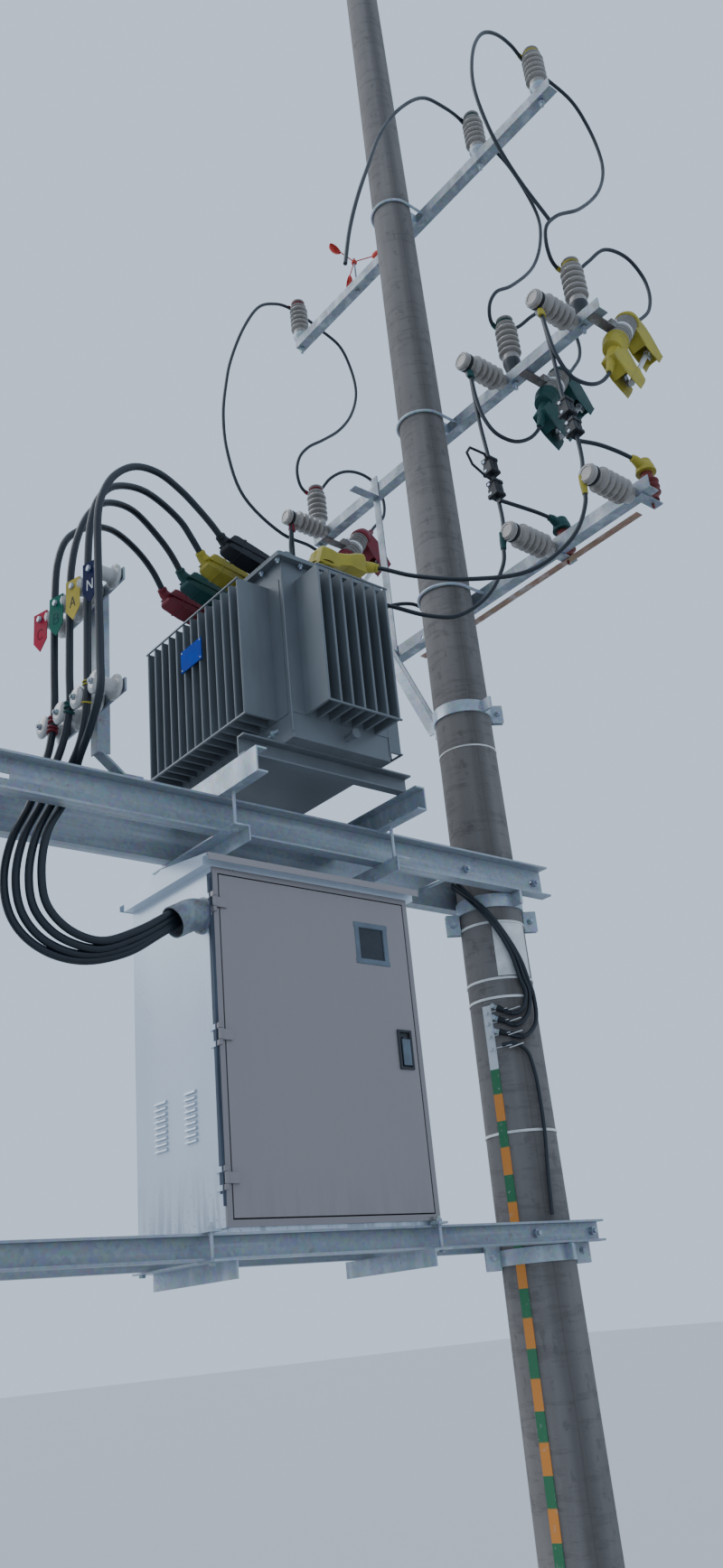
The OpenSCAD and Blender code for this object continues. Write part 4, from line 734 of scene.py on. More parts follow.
def banded_strip(name, top=2.42, pitch=0.214):
    """Zinc above the top, and green and orange bands down the strip at a pitch."""
    f = Finish(name)
    band = f.math("DIVIDE", f.math("SUBTRACT", top, f.axis("Z")), pitch)
    phase = f.math("FRACT", f.math("ADD", band, f.math("MULTIPLY", f.noise(6, 2), 0.03)))
    bands = f.steps(phase, [(0.48, (0.02, 0.15, 0.06)), (0.505, (0.62, 0.22, 0.03))])
    wear = f.patches(0.60, 0.66, 40, 6, roughness=0.7)
    colour = f.wash(bands, wear, 0.7, (0.36, 0.36, 0.34))
    return f.paint(f.mix(f.math("GREATER_THAN", f.axis("Z"), top), colour, (0.55, 0.58, 0.60)))


def colour_property(name, description, default):
    """Colour that the sidebar shows."""
    return FloatVectorProperty(
        name=name, description=description, subtype="COLOR", size=3, min=0, max=1, default=default
    )


class PartColours(bpy.types.PropertyGroup):
    """Colours of the painted, coated and moulded surfaces."""

    pole: colour_property("Poles", "Concrete of both poles", (0.185, 0.170, 0.160))
    steel: colour_property("Steelwork", "Zinc on beams, arms and clamps", (0.24, 0.27, 0.30))
    bright_steel: colour_property("New zinc", "Zinc on clamps and channels", (0.37, 0.42, 0.47))
    tank: colour_property("Tank", "Paint on the tank and its fins", (0.120, 0.135, 0.145))
    cabinet: colour_property("Cabinet", "Sheet of the cabinet's sides", (0.56, 0.62, 0.69))
    door: colour_property("Door", "Sheet of the cabinet's door", (0.27, 0.245, 0.245))
    porcelain: colour_property("Porcelain", "Glaze of the insulators", (0.26, 0.235, 0.21))
    red: colour_property("Red", "Red phase", (0.17, 0.006, 0.018))
    green: colour_property("Green", "Green phase", (0.001, 0.052, 0.048))
    yellow: colour_property("Yellow", "Yellow phase", (0.36, 0.30, 0.030))
    black: colour_property("Black", "Neutral cover", (0.004, 0.006, 0.010))
    jacket: colour_property("Leads", "Jacket of the leads", (0.005, 0.009, 0.014))


class LeadSizes(bpy.types.PropertyGroup):
    """Sizes of the leads, which match the CAD frame."""

    cable: FloatProperty(
        name="Low voltage cable", description="Diameter of a cable", default=0.028, min=0.01, unit="LENGTH"
    )
    lead: FloatProperty(
        name="High voltage lead", description="Diameter of a lead", default=0.020, min=0.006, unit="LENGTH"
    )
    sides: IntProperty(name="Sides", description="Faces round a lead", default=14, min=8, max=32)


class StudioSettings(bpy.types.PropertyGroup):
    """Floor and light of the studio."""

    floor: colour_property("Floor", "Floor and backdrop", (0.50, 0.52, 0.54))
    sky: FloatProperty(name="Sky", description="Strength of the even light", default=1.0, min=0)
    key: FloatProperty(
        name="Key light", description="Power of the large soft light", default=1.6, min=0, subtype="POWER"
    )


# Key, material name, colour, roughness and specular level of plain moulded or enamelled pieces
MOULDED = (
    ("window", "WindowPane", (0.02, 0.028, 0.036), 0.18),
    # Dark strip and lip of painted shade down the cabinet's hinged corner
    ("gasket", "DoorGasket", (0.045, 0.062, 0.090), 0.5),
    ("frame", "GreyFrame", (0.125, 0.160, 0.195), 0.45),
    ("dark", "DarkPlastic", (0.03, 0.034, 0.04), 0.4),
    ("plate", "BluePlate", (0.0, 0.045, 0.34), 0.75, 0.05),
    ("navy", "NavyTag", (0.004, 0.010, 0.055), 0.6, 0.1),
    ("tag_yellow", "YellowTag", (0.52, 0.40, 0.07), 0.6, 0.1),
    ("tag_green", "GreenTag", (0.002, 0.13, 0.085), 0.6, 0.1),
    ("tag_red", "RedTag", (0.42, 0.012, 0.045), 0.6, 0.1),
    ("deep_green", "GreenLetter", (0.001, 0.06, 0.07), 0.6, 0.1),
    ("deep_red", "RedLetter", (0.14, 0.003, 0.012), 0.6, 0.1),
    ("white", "WhitePlastic", (0.72, 0.72, 0.70), 0.5),
    ("rotor", "RotorPlastic", (0.62, 0.05, 0.03), 0.35),
    ("housing", "ArresterHousing", (0.16, 0.022, 0.020), 0.5),
)


@functools.cache
def finishes():
    """Every material of the part, by name, made on the first call."""
    c = bpy.context.scene.transformer_colours
    # Painted shade on the fronts of the cabinet and its roof, toned from the door's colour
    cabinet_front_shade = (-0.1865, shade(c.door, 0.9))
    roof_front_shade = (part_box("cabinet_roof")[0][1] + 0.012, shade(c.door, 1.1))
    made = {
        "concrete": concrete("Concrete", 0.0, c.pole),
        "concrete_left": concrete("ConcreteLeft", LEFT_POLE_X, c.pole),
        "zinc": zinc("Zinc", c.steel, 0.12),
        "beam": zinc("BeamZinc", shade(c.steel, 1.26), 0.05, 0.42, (0.06, 1, 1.3)),
        "new_zinc": zinc("NewZinc", c.bright_steel, 0.0, 0.3),
        "rusty": zinc("DullZinc", (0.17, 0.155, 0.145), 0.35, 0.6),
        "aluminium": zinc("FuseAluminium", (0.60, 0.61, 0.62), 0.0, 0.3),
        "hood": zinc("HoodSheet", shade(c.steel, 0.9), 0.25, 0.5),
        "copper": zinc("EarthingBar", (0.28, 0.165, 0.105), 0.25, 0.4),
        "tank": tank_coat("TankPaint", c.tank),
        "cabinet": sheet_metal("CabinetSheet", c.cabinet, 0.45, 0.30, 1.815, 0.6, cabinet_front_shade),
        "roof": sheet_metal("RoofSheet", shade(c.cabinet, 1.1), 0.35, 0.34, 1.0, 0.0, roof_front_shade),
        "door": sheet_metal("DoorSheet", c.door, 0.2, 0.42, 1.8, 0.15),
        "porcelain": porcelain("Porcelain", c.porcelain),
        "spool": porcelain("SpoolPorcelain", (0.44, 0.43, 0.41), 0.2),
        "fuse_porcelain": porcelain("FusePorcelain", shade(c.porcelain, 0.72), 0.2),
        "brown_porcelain": porcelain("BrownPorcelain", (0.10, 0.03, 0.018), 0.15),
        "jacket": jacket("CableJacket", c.jacket),
        "black": silicone("BlackSilicone", c.black, 0.5),
        "strip": banded_strip("EarthingStrip"),
    }
    for key, name, *values in MOULDED:
        made[key] = silicone(name, *values)
    for phase in PHASES:
        made[phase] = silicone(phase.capitalize() + "Silicone", getattr(c, phase))
    return made


class TRANSFORMER_OT_steelwork(bpy.types.Operator):
    """Finishes poles, beams, arms and clamps"""

    bl_idname = "transformer.steelwork"
    bl_label = "Poles and steelwork"

    def execute(self, context):
        dress("concrete", "right_pole")
        dress("concrete_left", "left_pole")
        dress("beam", "upper_beams", "lower_beams")
        dress("zinc", "top_crossarm", "fuse_crossarm", "arrester_crossarm", "stay_post", "lv_post")
        dress("new_zinc", "cross_channels", "clamp_angles", "pole_clamps")
        dress("rusty", "fuse_brackets")
        dress("copper", "earthing_bar")
        dress("white", "pole_straps", "pole_plate")
        dress("strip", "earth_strip")
        self.pole_strap(STRAP_Z)
        self.hoop_ears()
        self.brace_leg()
        return {"FINISHED"}

    def pole_strap(self, z):
        """Thin ring of strap: a flat outline turned round the right pole."""
        radius = POLE_TOP_RADIUS + (POLE_TOP - z) / POLE_TAPER
        outline = [
            (radius + 0.0003, -0.004), (radius + 0.002, -0.003), (radius + 0.002, 0.003),
            (radius + 0.0003, 0.004),
        ]
        piece("upper_pole_strap", [turned(outline, (0, 0, z), sides=96)], "white")

    def hoop_ears(self):
        """Bolted ears where the two halves of each hoop meet, beside the poles."""
        plates, bolts = [], []
        outward, across = np.array((0.85, -0.53, 0)), np.array((0.53, 0.85, 0))
        for z, pole_x, side in HOOP_EARS:
            reach = POLE_TOP_RADIUS + (POLE_TOP - z) / POLE_TAPER + 0.034
            middle = np.array((pole_x, 0, z)) + outward * side * reach
            axes = (outward * side, across * side, (0, 0, 1))
            plates += [
                block(middle + across * gap, (0.062, 0.008, 0.095), axes, 0.002) for gap in (-0.011, 0.011)
            ]
            bolts.append(shank(middle, across, 0.040))
            bolts += [nut(middle + across * gap, across, 0.024, 0.012) for gap in (-0.021, 0.021)]
        zinc_piece("hoop_ears", plates)
        zinc_piece("hoop_ear_bolts", bolts)

    def brace_leg(self):
        """Second leg of the angle brace: a flat bar along it, turned to the front."""
        low, high = np.array((0.019, 0.178, 4.130)), np.array((0.118, STAY_Y, 4.795))
        along = unit(high - low)
        across = unit(np.cross((-0.66, -0.66, -0.36), along))
        middle = low * 0.49 + high * 0.51 + across * 0.027
        size = (0.052, 0.005, np.linalg.norm(high - low) * 0.97)
        zinc_piece("brace_leg", [block(middle, size, (across, np.cross(across, along), along), 0.0015)])


class TRANSFORMER_OT_tank(bpy.types.Operator):
    """Finishes the tank, fins and terminals"""

    bl_idname = "transformer.tank"
    bl_label = "Tank"

    def execute(self, context):
        dress("tank", "tank", "cooling_fins", "tank_cover", "base_rails")
        dress("brown_porcelain", "lv_bushings", "hv_bushings")
        dress("plate", "name_plate")
        self.flange_nuts()
        self.plate_screws()
        self.fin_bars()
        self.welds()
        self.foot_bolts()
        return {"FINISHED"}

    def flange_nuts(self):
        """Nuts and stud ends below the tank's flange, along all four sides."""
        ends = [
            (x, i * (TANK_DEPTH / 2 + 0.002) / 4)
            for x in (-TANK_LENGTH / 2 - 0.016, TANK_LENGTH / 2 + 0.016) for i in range(-4, 5)
        ]
        sides = [
            (x, y) for x in (-0.150, -0.050, 0.050, 0.150)
            for y in (-TANK_DEPTH / 2 - 0.014, TANK_DEPTH / 2 + 0.014)
        ]
        parts = []
        for x, y in ends + sides:
            place = (TANK_X + x, y, FLANGE_Z)
            parts.append(nut(place, (0, 0, 1), 0.0185, 0.0115))
            parts.append(turned([(0.0052, -0.016), (0.0058, -0.0145), (0.0058, 0)], place, sides=12))
        zinc_piece("flange_nuts", parts)

    def plate_screws(self):
        """Domed screws at the corners of the bare plate."""
        low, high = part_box("name_plate")
        dome = [(0.0042, 0), (0.004, 0.0012), (0.0025, 0.0022), (0.0004, 0.0025)]
        zinc_piece("plate_screws", [
            turned(dome, (low[0], y, z), (-1, 0, 0), 16)
            for y in (low[1] + 0.009, high[1] - 0.009) for z in (low[2] + 0.009, high[2] - 0.009)
        ])

    def fin_bars(self):
        """Flat bars along the tips of the fins' upper edges, on all four sides."""
        low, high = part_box("cooling_fins")
        bars = [
            block((TANK_X, y, FIN_TOP), (0.362, 0.008, 0.007), bevel=0.001)
            for y in (low[1] + 0.004, high[1] - 0.004)
        ] + [
            block((x, 0, FIN_TOP), (0.008, 0.704, 0.007), bevel=0.001)
            for x in (low[0] + 0.004, high[0] - 0.004)
        ]
        piece("fin_top_bars", bars, "tank")

    def welds(self):
        """Thin beads up the tank's four corners."""
        bead = [(0.0035, 3.530), (0.0045, 3.540), (0.0045, 4.268), (0.0035, 4.276)]
        piece("corner_welds", [
            turned(bead, (TANK_X + x, y, 0), sides=12)
            for x in (-TANK_LENGTH / 2, TANK_LENGTH / 2) for y in (-TANK_DEPTH / 2, TANK_DEPTH / 2)
        ], "tank")

    def foot_bolts(self):
        """Bolt and nut through each end of both base rails."""
        feet, along = [], (0, 1, 0)
        for x in (TANK_X - RAIL_X, TANK_X + RAIL_X):
            for y in (-RAIL_Y, RAIL_Y):
                place = (x, y, RAIL_Z)
                feet += [nut(place, along, 0.026, 0.014), shank(place, along, 0.030)]
        zinc_piece("foot_bolts", feet)


class TRANSFORMER_OT_cabinet(bpy.types.Operator):
    """Finishes the low voltage cabinet"""

    bl_idname = "transformer.cabinet"
    bl_label = "Cabinet"

    def execute(self, context):
        dress("cabinet", "cabinet_shell")
        dress("roof", "cabinet_roof")
        dress("door", "cabinet_door")
        dress("window", "door_window")
        dress("dark", "door_latch")
        dress("hood", "cable_hood")
        self.gasket()
        self.door_fittings()
        return {"FINISHED"}

    def gasket(self):
        """Painted shade down the hinged corner: a dark flat strip, and a dark lip that waves by a sine."""
        strip = block((-1.6125, -0.1790, 2.47), (0.0035, 0.030, 1.10), bevel=0.0008)
        z = np.linspace(1.88, 3.00, 24)
        lip = np.stack([np.full(24, -1.6140), -0.1880 + 0.004 * np.sin(9 * z), z], 1)
        piece("corner_gasket", [strip, swept(lip, 0.0065, 0.0045, 2.6, 12)], "gasket")

    def door_fittings(self):
        """Raised frame of the window, and the latch's rim and paddle."""
        low, high = (np.array(corner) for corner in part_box("door_window"))
        bars = rim_bars(low, high, low[1] - 0.001, 0.022, 0.010, wider=0.006, shorter=0.022, bevel=0.003)
        piece("window_frame", bars, "frame", body="door")
        low, high = (np.array(corner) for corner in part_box("door_latch"))
        piece("latch_rim", rim_bars(low, high, low[1], 0.010, 0.006), "dark", body="door")
        middle, size = (low + high) / 2, high - low
        paddle = block(
            (middle[0] + 0.003, low[1] - 0.0005, middle[2] - 0.010),
            (size[0] - 0.030, 0.007, size[2] - 0.050), bevel=0.002,
        )
        piece("latch_paddle", [paddle], "frame", body="door")


def sheds(start, count, pitch, root, crest):
    """Profile of ribs: each swells from its root to a rounded crest and back."""
    step = np.array([0.02, 0.10, 0.20, 0.32, 0.46, 0.60, 0.74, 0.86])
    swell = np.array([0.0, 0.45, 0.85, 1.0, 0.96, 0.72, 0.36, 0.08])
    heights = start + pitch * (np.arange(count)[:, None] + step)
    radii = root + (crest - root) * np.broadcast_to(swell, heights.shape)
    return np.stack([radii.ravel(), heights.ravel()], 1)


def pin_insulator(place):
    """Upright insulator: light base, five ribs, tie neck and domed head."""
    profile = np.vstack([
        [(0.026, 0.0005), (0.0415, 0.0005), (0.0430, 0.003), (0.0435, 0.036), (0.0430, 0.042)],
        sheds(0.044, 5, 0.038, 0.0425, 0.0600),
        [(0.0440, 0.235), (0.0500, 0.239), (0.0530, 0.245), (0.0500, 0.251), (0.0420, 0.257),
         (0.0385, 0.262), (0.0378, 0.270), (0.0395, 0.277), (0.0450, 0.281), (0.0460, 0.286),
         (0.0420, 0.291), (0.030, 0.2945), (0.012, 0.2960), (0.001, 0.2962)],
    ])
    return turned(profile, place)


def side_insulator(place):
    """Insulator lying along X: collar, five ribs, tie groove and blunt head."""
    profile = np.vstack([
        [(0.020, -0.0005), (0.039, -0.0005), (0.041, 0.003), (0.042, 0.028), (0.045, 0.031),
         (0.046, 0.036), (0.043, 0.040)],
        sheds(0.042, 5, 0.038, 0.0370, 0.0605),
        [(0.0390, 0.234), (0.0440, 0.238), (0.0470, 0.243), (0.0440, 0.248), (0.0380, 0.252),
         (0.0365, 0.256), (0.0365, 0.264), (0.0400, 0.268), (0.0460, 0.271), (0.0480, 0.276),
         (0.0480, 0.288), (0.0450, 0.295), (0.0360, 0.2990), (0.0350, 0.3000), (0.0300, 0.3004),
         (0.0290, 0.2975), (0.0150, 0.2970), (0.001, 0.2969)],
    ])
    return turned(profile, place, (-1, 0, 0))


def fuse_frame(parts, y):
    """Surfaces drawn about a fuse's porcelain, tilted and put at the fuse."""
    cos, sin = math.cos(FUSE_TILT), math.sin(FUSE_TILT)
    return [moved(part, (FUSE_X, y, FUSE_Z), [(cos, 0, -sin), (0, 1, 0), (sin, 0, cos)]) for part in parts]


class TRANSFORMER_OT_insulators(bpy.types.Operator):
    """Finishes insulators, fuses and arresters"""

    bl_idname = "transformer.insulators"
    bl_label = "Insulators and fuses"

    def execute(self, context):
        dress("fuse_porcelain", "fuse_insulators")
        dress("aluminium", "fuse_tube_yellow", "fuse_tube_green", "fuse_tube_red")
        dress("housing", "arresters")
        self.porcelains()
        self.spools()
        self.tapes()
        self.pins()
        self.fuse_bands()
        self.tags()
        self.rotor()
        return {"FINISHED"}

    def porcelains(self):
        """Ribbed insulators standing on and reaching from the arms."""
        upright = [
            pin_insulator((PIN_X, y, seat))
            for seat, places in ((TOP_SEAT, TOP_PINS), (FUSE_SEAT, FUSE_PINS)) for y in places.values()
        ]
        piece("ribbed_pin_insulators", upright, "porcelain", replaces=("pin_insulators",))
        lying, studs = [], []
        for z, places in SIDE_ROWS:
            for y in places.values():
                lying.append(side_insulator((ARM_X, y, z)))
                studs.append(nut((ARM_X + 0.014, y, z), (1, 0, 0), 0.028, 0.014))
                stud = [(0.0085, 0), (0.009, 0.002), (0.009, 0.036), (0.0075, 0.040)]
                studs.append(turned(stud, (ARM_X, y, z), (1, 0, 0), 16))
        piece("ribbed_side_insulators", lying, "porcelain", replaces=("side_insulators",))
        zinc_piece("insulator_studs", studs)

    def pins(self):
        """Cone under each pin insulator, with the zinc pin and nut below it."""
        cones, feet, pins = [], [], []
        for arm, seat, places, kind, sides in (
            (TOP_ARM, TOP_SEAT, TOP_PINS, feet, 32), (FUSE_ARM, FUSE_SEAT, FUSE_PINS, cones, 14)
        ):
            foot = 0.052 - (seat - arm)
            cone = [
                (0.022, foot), (0.030, foot), (0.0315, foot + 0.003), (0.0330, foot + 0.010),
                (0.0450, -0.020), (0.0475, -0.008), (0.0475, 0.004), (0.0440, 0.007),
            ]
            pin = [
                (0.0102, -0.040), (0.0102, 0.006), (0.020, 0.008), (0.020, 0.011), (0.0102, 0.013),
                (0.0102, 0.060),
            ]
            for y in places.values():
                kind.append(turned(cone, (PIN_X, y, seat), sides=sides))
                pins.append(turned(pin, (PIN_X, y, arm), sides=20))
                pins.append(nut((PIN_X, y, arm - 0.0115), (0, 0, 1), 0.031, 0.0125))
        piece("insulator_cap_cones", cones, "dark")
        zinc_piece("insulator_foot_cones", feet)
        zinc_piece("insulator_pins", pins)

    def fuse_bands(self):
        """Ribbed barrel of each fuse, and its bright clamp band with two bolts."""
        bands, barrels = [], []
        band = turned([(0.0555, 0.111), (0.0585, 0.112), (0.0585, 0.130), (0.0555, 0.131)], (0, 0, 0))
        lug = block((-0.064, 0, 0.121), (0.024, 0.030, 0.036), bevel=0.002)
        bolts = [nut((-0.066, side * 0.019, 0.121), (0, 1, 0), 0.017, 0.008) for side in (-1, 1)]
        ribs = turned(np.vstack([
            [(0.045, 0.000), (0.050, 0.004)], sheds(0.006, 4, 0.026, 0.0500, 0.0600),
            [(0.050, 0.113), (0.050, 0.129)], sheds(0.131, 4, 0.026, 0.0500, 0.0600), [(0.045, 0.240)],
        ]), (0, 0, 0), sides=40)
        for y in FUSE_PLACES.values():
            barrels += fuse_frame([ribs], y)
            bands += fuse_frame([band, lug, *bolts], y)
        piece("fuse_bands", bands, "aluminium")
        piece("fuse_barrels", barrels, "fuse_porcelain")

    def tags(self):
        """Coloured pointed plates behind the spools, each with its letter."""
        outline = [(-0.036, 0.030), (0.036, 0.030), (0.036, -0.094), (0, -0.140), (-0.036, -0.094)]
        lean = math.radians(16)
        turn = [(math.sin(lean), -math.cos(lean), 0), (math.cos(lean), math.sin(lean), 0), (0, 0, 1)]
        looks = (
            ("navy", "white"), ("tag_yellow", "black"), ("tag_green", "deep_green"), ("tag_red", "deep_red")
        )
        for name, strokes, y, (plate_look, letter_look) in zip("NABC", LETTERS, SPOOL_YS, looks):
            place = (SPOOL_X - 0.0665, y, UPPER_SPOOLS)
            plate = moved(prism(outline, -0.0013, 0.0013), place, turn)
            piece("tag_" + name, [plate], plate_look, bevel=0.0008,
                  replaces=("phase_tags",) if name == "N" else ())
            marks = []
            for stroke in strokes:
                across, rise = np.array(stroke, float).T
                line = np.stack([across * 0.036 - 0.013, 0 * rise - 0.0013, rise * 0.042 - 0.086], 1)
                marks.append(moved(swept(line, 0.0024, 0.0008, 4.0, 8), place, turn))
            piece("letter_" + name, marks, letter_look)
        zinc_piece("tag_nuts", [
            nut((SPOOL_X - reach, y, z), (1, 0, 0), 0.022, 0.010)
            for y in SPOOL_YS for z, reach in ((UPPER_SPOOLS, 0.0735), (LOWER_SPOOLS, 0.066))
        ])

    def spools(self):
        """White spools with two broad discs and a groove that holds the cable."""
        profile = [
            (0.009, -0.0620), (0.020, -0.0622), (0.034, -0.0600), (0.041, -0.0550), (0.043, -0.0490),
            (0.041, -0.0440), (0.034, -0.0400), (0.028, -0.0340), (0.026, -0.0250), (0.026, 0.0040),
            (0.029, 0.0120), (0.036, 0.0170), (0.044, 0.0200), (0.047, 0.0250), (0.046, 0.0310),
            (0.038, 0.0370), (0.009, 0.0378),
        ]
        piece("grooved_spools", [
            turned(profile, (SPOOL_X, y, z), (1, 0, 0), 40)
            for y in SPOOL_YS for z in (LOWER_SPOOLS, UPPER_SPOOLS)
        ], "spool", replaces=("lv_spools",))

    def tapes(self):
        """Turns of coloured tape round the cables at the lower spools."""
        for phase, heights, lean, thick in (
            ("yellow", (3.60, 3.588, 3.53, 3.518), 0, 0.0032),
            ("green", (3.585, 3.565, 3.545), 0.25, 0.0060),
            ("red", (3.59, 3.57, 3.55, 3.53), 0.25, 0.0060),
        ):
            route = smooth_line(LEADS[phase + "_cable"])
            rounds = []
            for index, z in enumerate(heights):
                spot = int(np.argmin(np.abs(route[:, 2] - z) + 9 * (route[:, 0] > -2.0)))
                along = unit(route[spot + 1] - route[spot - 1])
                rounds.append(torus(route[spot], along + (0, lean * (-1) ** index, 0), 0.0150, thick))
            piece(phase + "_tape", rounds, phase)

    def rotor(self):
        """Hub, three thin arms and spoon-shaped cups of the bird repeller.

        A spoon is half an ellipsoid, (a sin t cos p, -d cos t, b sin t sin p),
        out to its rim and back along an inner face.
        """
        parts = [turned([
            (0.0048, 0), (0.017, 0), (0.018, 0.002), (0.018, 0.010), (0.014, 0.013), (0.014, 0.022),
            (0.010, 0.028), (0.0048, 0.028),
        ], ROTOR)]
        swing = np.linspace(0.05, math.pi / 2, 10)
        swing, scale = np.concatenate([swing, swing[::-1]]), np.repeat([1.0, 0.93], 10)
        around = np.linspace(0, 2 * math.pi, 32, endpoint=False)
        out = (np.sin(swing) * scale)[:, None]
        spoon = net(np.stack([
            0.166 + 0.048 * out * np.cos(around),
            -0.028 * (np.cos(swing) * scale)[:, None] + 0 * around,
            0.014 + 0.031 * out * np.sin(around),
        ], -1))
        rim = np.stack([0.166 + 0.0475 * np.cos(around), 0 * around, 0.014 + 0.0305 * np.sin(around)], 1)
        bead = swept(np.vstack([rim, rim[:1]]), 0.0016, 0.0016, sides=8)
        arm = swept(np.linspace((0.010, 0, 0.014), (0.135, 0, 0.014), 5), 0.0036, 0.0036, sides=12)
        for angle in (185, 65, -55):
            cos, sin = math.cos(math.radians(angle)), math.sin(math.radians(angle))
            axes = [(cos, sin, 0), (-sin, cos, 0), (0, 0, 1)]
            parts += [moved(part, ROTOR, axes) for part in (arm, spoon, bead)]
        piece("spoon_rotor", parts, "rotor", body="rotor", replaces=("bird_rotor",))


def spout(start, mouth, ahead, back, out, root, end):
    """Sleeve from a cover to its lead's first point, and on along the lead."""
    along = unit(ahead - mouth)
    return nozzle([start, mouth - along * back, mouth + along * out], root, end)


def lv_cover(y, cable):
    """Long cut-cornered cover over a low voltage bushing and its cable lug."""
    body = cover_shell([
        (-1.510, 4.430, -1.474, 4.486, 0.022, 0.009), (-1.506, 4.420, -1.464, 4.497, 0.030, 0.013),
        (-1.496, 4.414, -1.448, 4.498, 0.034, 0.016), (-1.420, 4.390, -1.380, 4.478, 0.038, 0.018),
        (-1.345, 4.374, -1.308, 4.458, 0.038, 0.018), (-1.262, 4.370, -1.264, 4.442, 0.036, 0.016),
        (-1.250, 4.378, -1.254, 4.432, 0.028, 0.010),
    ], y, 0.005)
    rib = cover_shell([
        (-1.454, 4.396, -1.416, 4.493, 0.0385, 0.018), (-1.447, 4.394, -1.409, 4.491, 0.0385, 0.018),
    ], y)
    seam = cover_shell([
        (-1.508, 4.448, -1.478, 4.474, 0.036, 0.006), (-1.252, 4.398, -1.254, 4.414, 0.0405, 0.004),
    ], y, 0.003)
    collar = turned([
        (0.026, 4.330), (0.034, 4.332), (0.035, 4.345), (0.032, 4.352), (0.031, 4.392)
    ], (LV_X, y, 0))
    mouth = spout((-1.470, y, 4.444), cable[0], cable[1], 0.010, 0.022, 0.031, 0.018)
    return [body, rib, seam, collar, mouth]


def hv_cover(y, lead):
    """Domed box over a high voltage bushing, with a long flat arm for the lead."""
    body = cover_shell([
        (-1.064, 4.494, -1.050, 4.556, 0.034, 0.014), (-1.062, 4.484, -1.030, 4.586, 0.048, 0.024),
        (-1.020, 4.480, -1.012, 4.598, 0.051, 0.027), (-0.978, 4.482, -0.978, 4.597, 0.050, 0.026),
        (-0.950, 4.496, -0.948, 4.590, 0.046, 0.022), (-0.936, 4.512, -0.932, 4.588, 0.041, 0.016),
        (-0.880, 4.526, -0.878, 4.600, 0.043, 0.016), (-0.840, 4.520, -0.838, 4.618, 0.045, 0.016),
        (-0.800, 4.518, -0.798, 4.630, 0.046, 0.016), (-0.786, 4.526, -0.784, 4.618, 0.038, 0.012),
    ], y, 0.005)
    rib = cover_shell([
        (-0.884, 4.524, -0.882, 4.602, 0.0425, 0.016), (-0.878, 4.524, -0.876, 4.602, 0.0425, 0.016),
    ], y)
    skirt = turned(
        [(0.053, 4.476), (0.057, 4.478), (0.057, 4.486), (0.053, 4.490), (0.049, 4.530), (0.046, 4.556)],
        (HV_X, y, 0),
    )
    mouth = spout((-0.810, y, 4.572), lead[-2], lead[-3], 0.006, 0.012, 0.034, 0.0140)
    return [body, rib, skirt, mouth]


def arrester_cap(y, branch):
    """Domed cap on an arrester, with a spout for the branch lead."""
    cap = turned([
        (0.040, -0.004), (0.047, -0.003), (0.0485, 0.001), (0.0475, 0.007), (0.0455, 0.009),
        (0.0430, 0.028), (0.038, 0.044), (0.0345, 0.049), (0.034, 0.058), (0.030, 0.068),
        (0.021, 0.075), (0.010, 0.0785), (0.002, 0.0795),
    ], (0.240, y, 4.944))
    return [cap, spout((0.228, y, 4.968), branch[-1], branch[-2], 0, 0.020, 0.028, 0.0135)]


def upper_boot(y):
    """Cap over a fuse's upper end, with a hood out over the tube's contact."""
    cap = turned([
        (0.0600, 0.224), (0.0655, 0.226), (0.0655, 0.232), (0.0635, 0.234), (0.0635, 0.238),
        (0.0655, 0.240), (0.0655, 0.246), (0.0615, 0.248), (0.0600, 0.262), (0.054, 0.280),
        (0.046, 0.298), (0.040, 0.306),
    ], (0, 0, 0))
    hood = hood_shell([
        (0.000, 0.214, 0.000, 0.312, 0.040, 0.018), (0.030, 0.204, 0.032, 0.324, 0.043, 0.020),
        (0.080, 0.178, 0.082, 0.322, 0.043, 0.020), (0.122, 0.162, 0.124, 0.311, 0.043, 0.020),
        (0.182, 0.160, 0.184, 0.284, 0.043, 0.020), (0.236, 0.160, 0.238, 0.256, 0.043, 0.018),
        (0.241, 0.157, 0.243, 0.257, 0.046, 0.018),
    ])
    wedge = cover_shell([
        (0.010, 0.216, 0.010, 0.308, 0.037, 0.018), (0.060, 0.188, 0.062, 0.318, 0.039, 0.020),
        (0.128, 0.166, 0.130, 0.304, 0.039, 0.020),
    ])
    inlet = nozzle([(0.024, 0, 0.300), (0.027, 0, 0.335), (0.027, 0, 0.378)], 0.036, 0.0135)
    return fuse_frame([cap, wedge, hood, inlet], y)


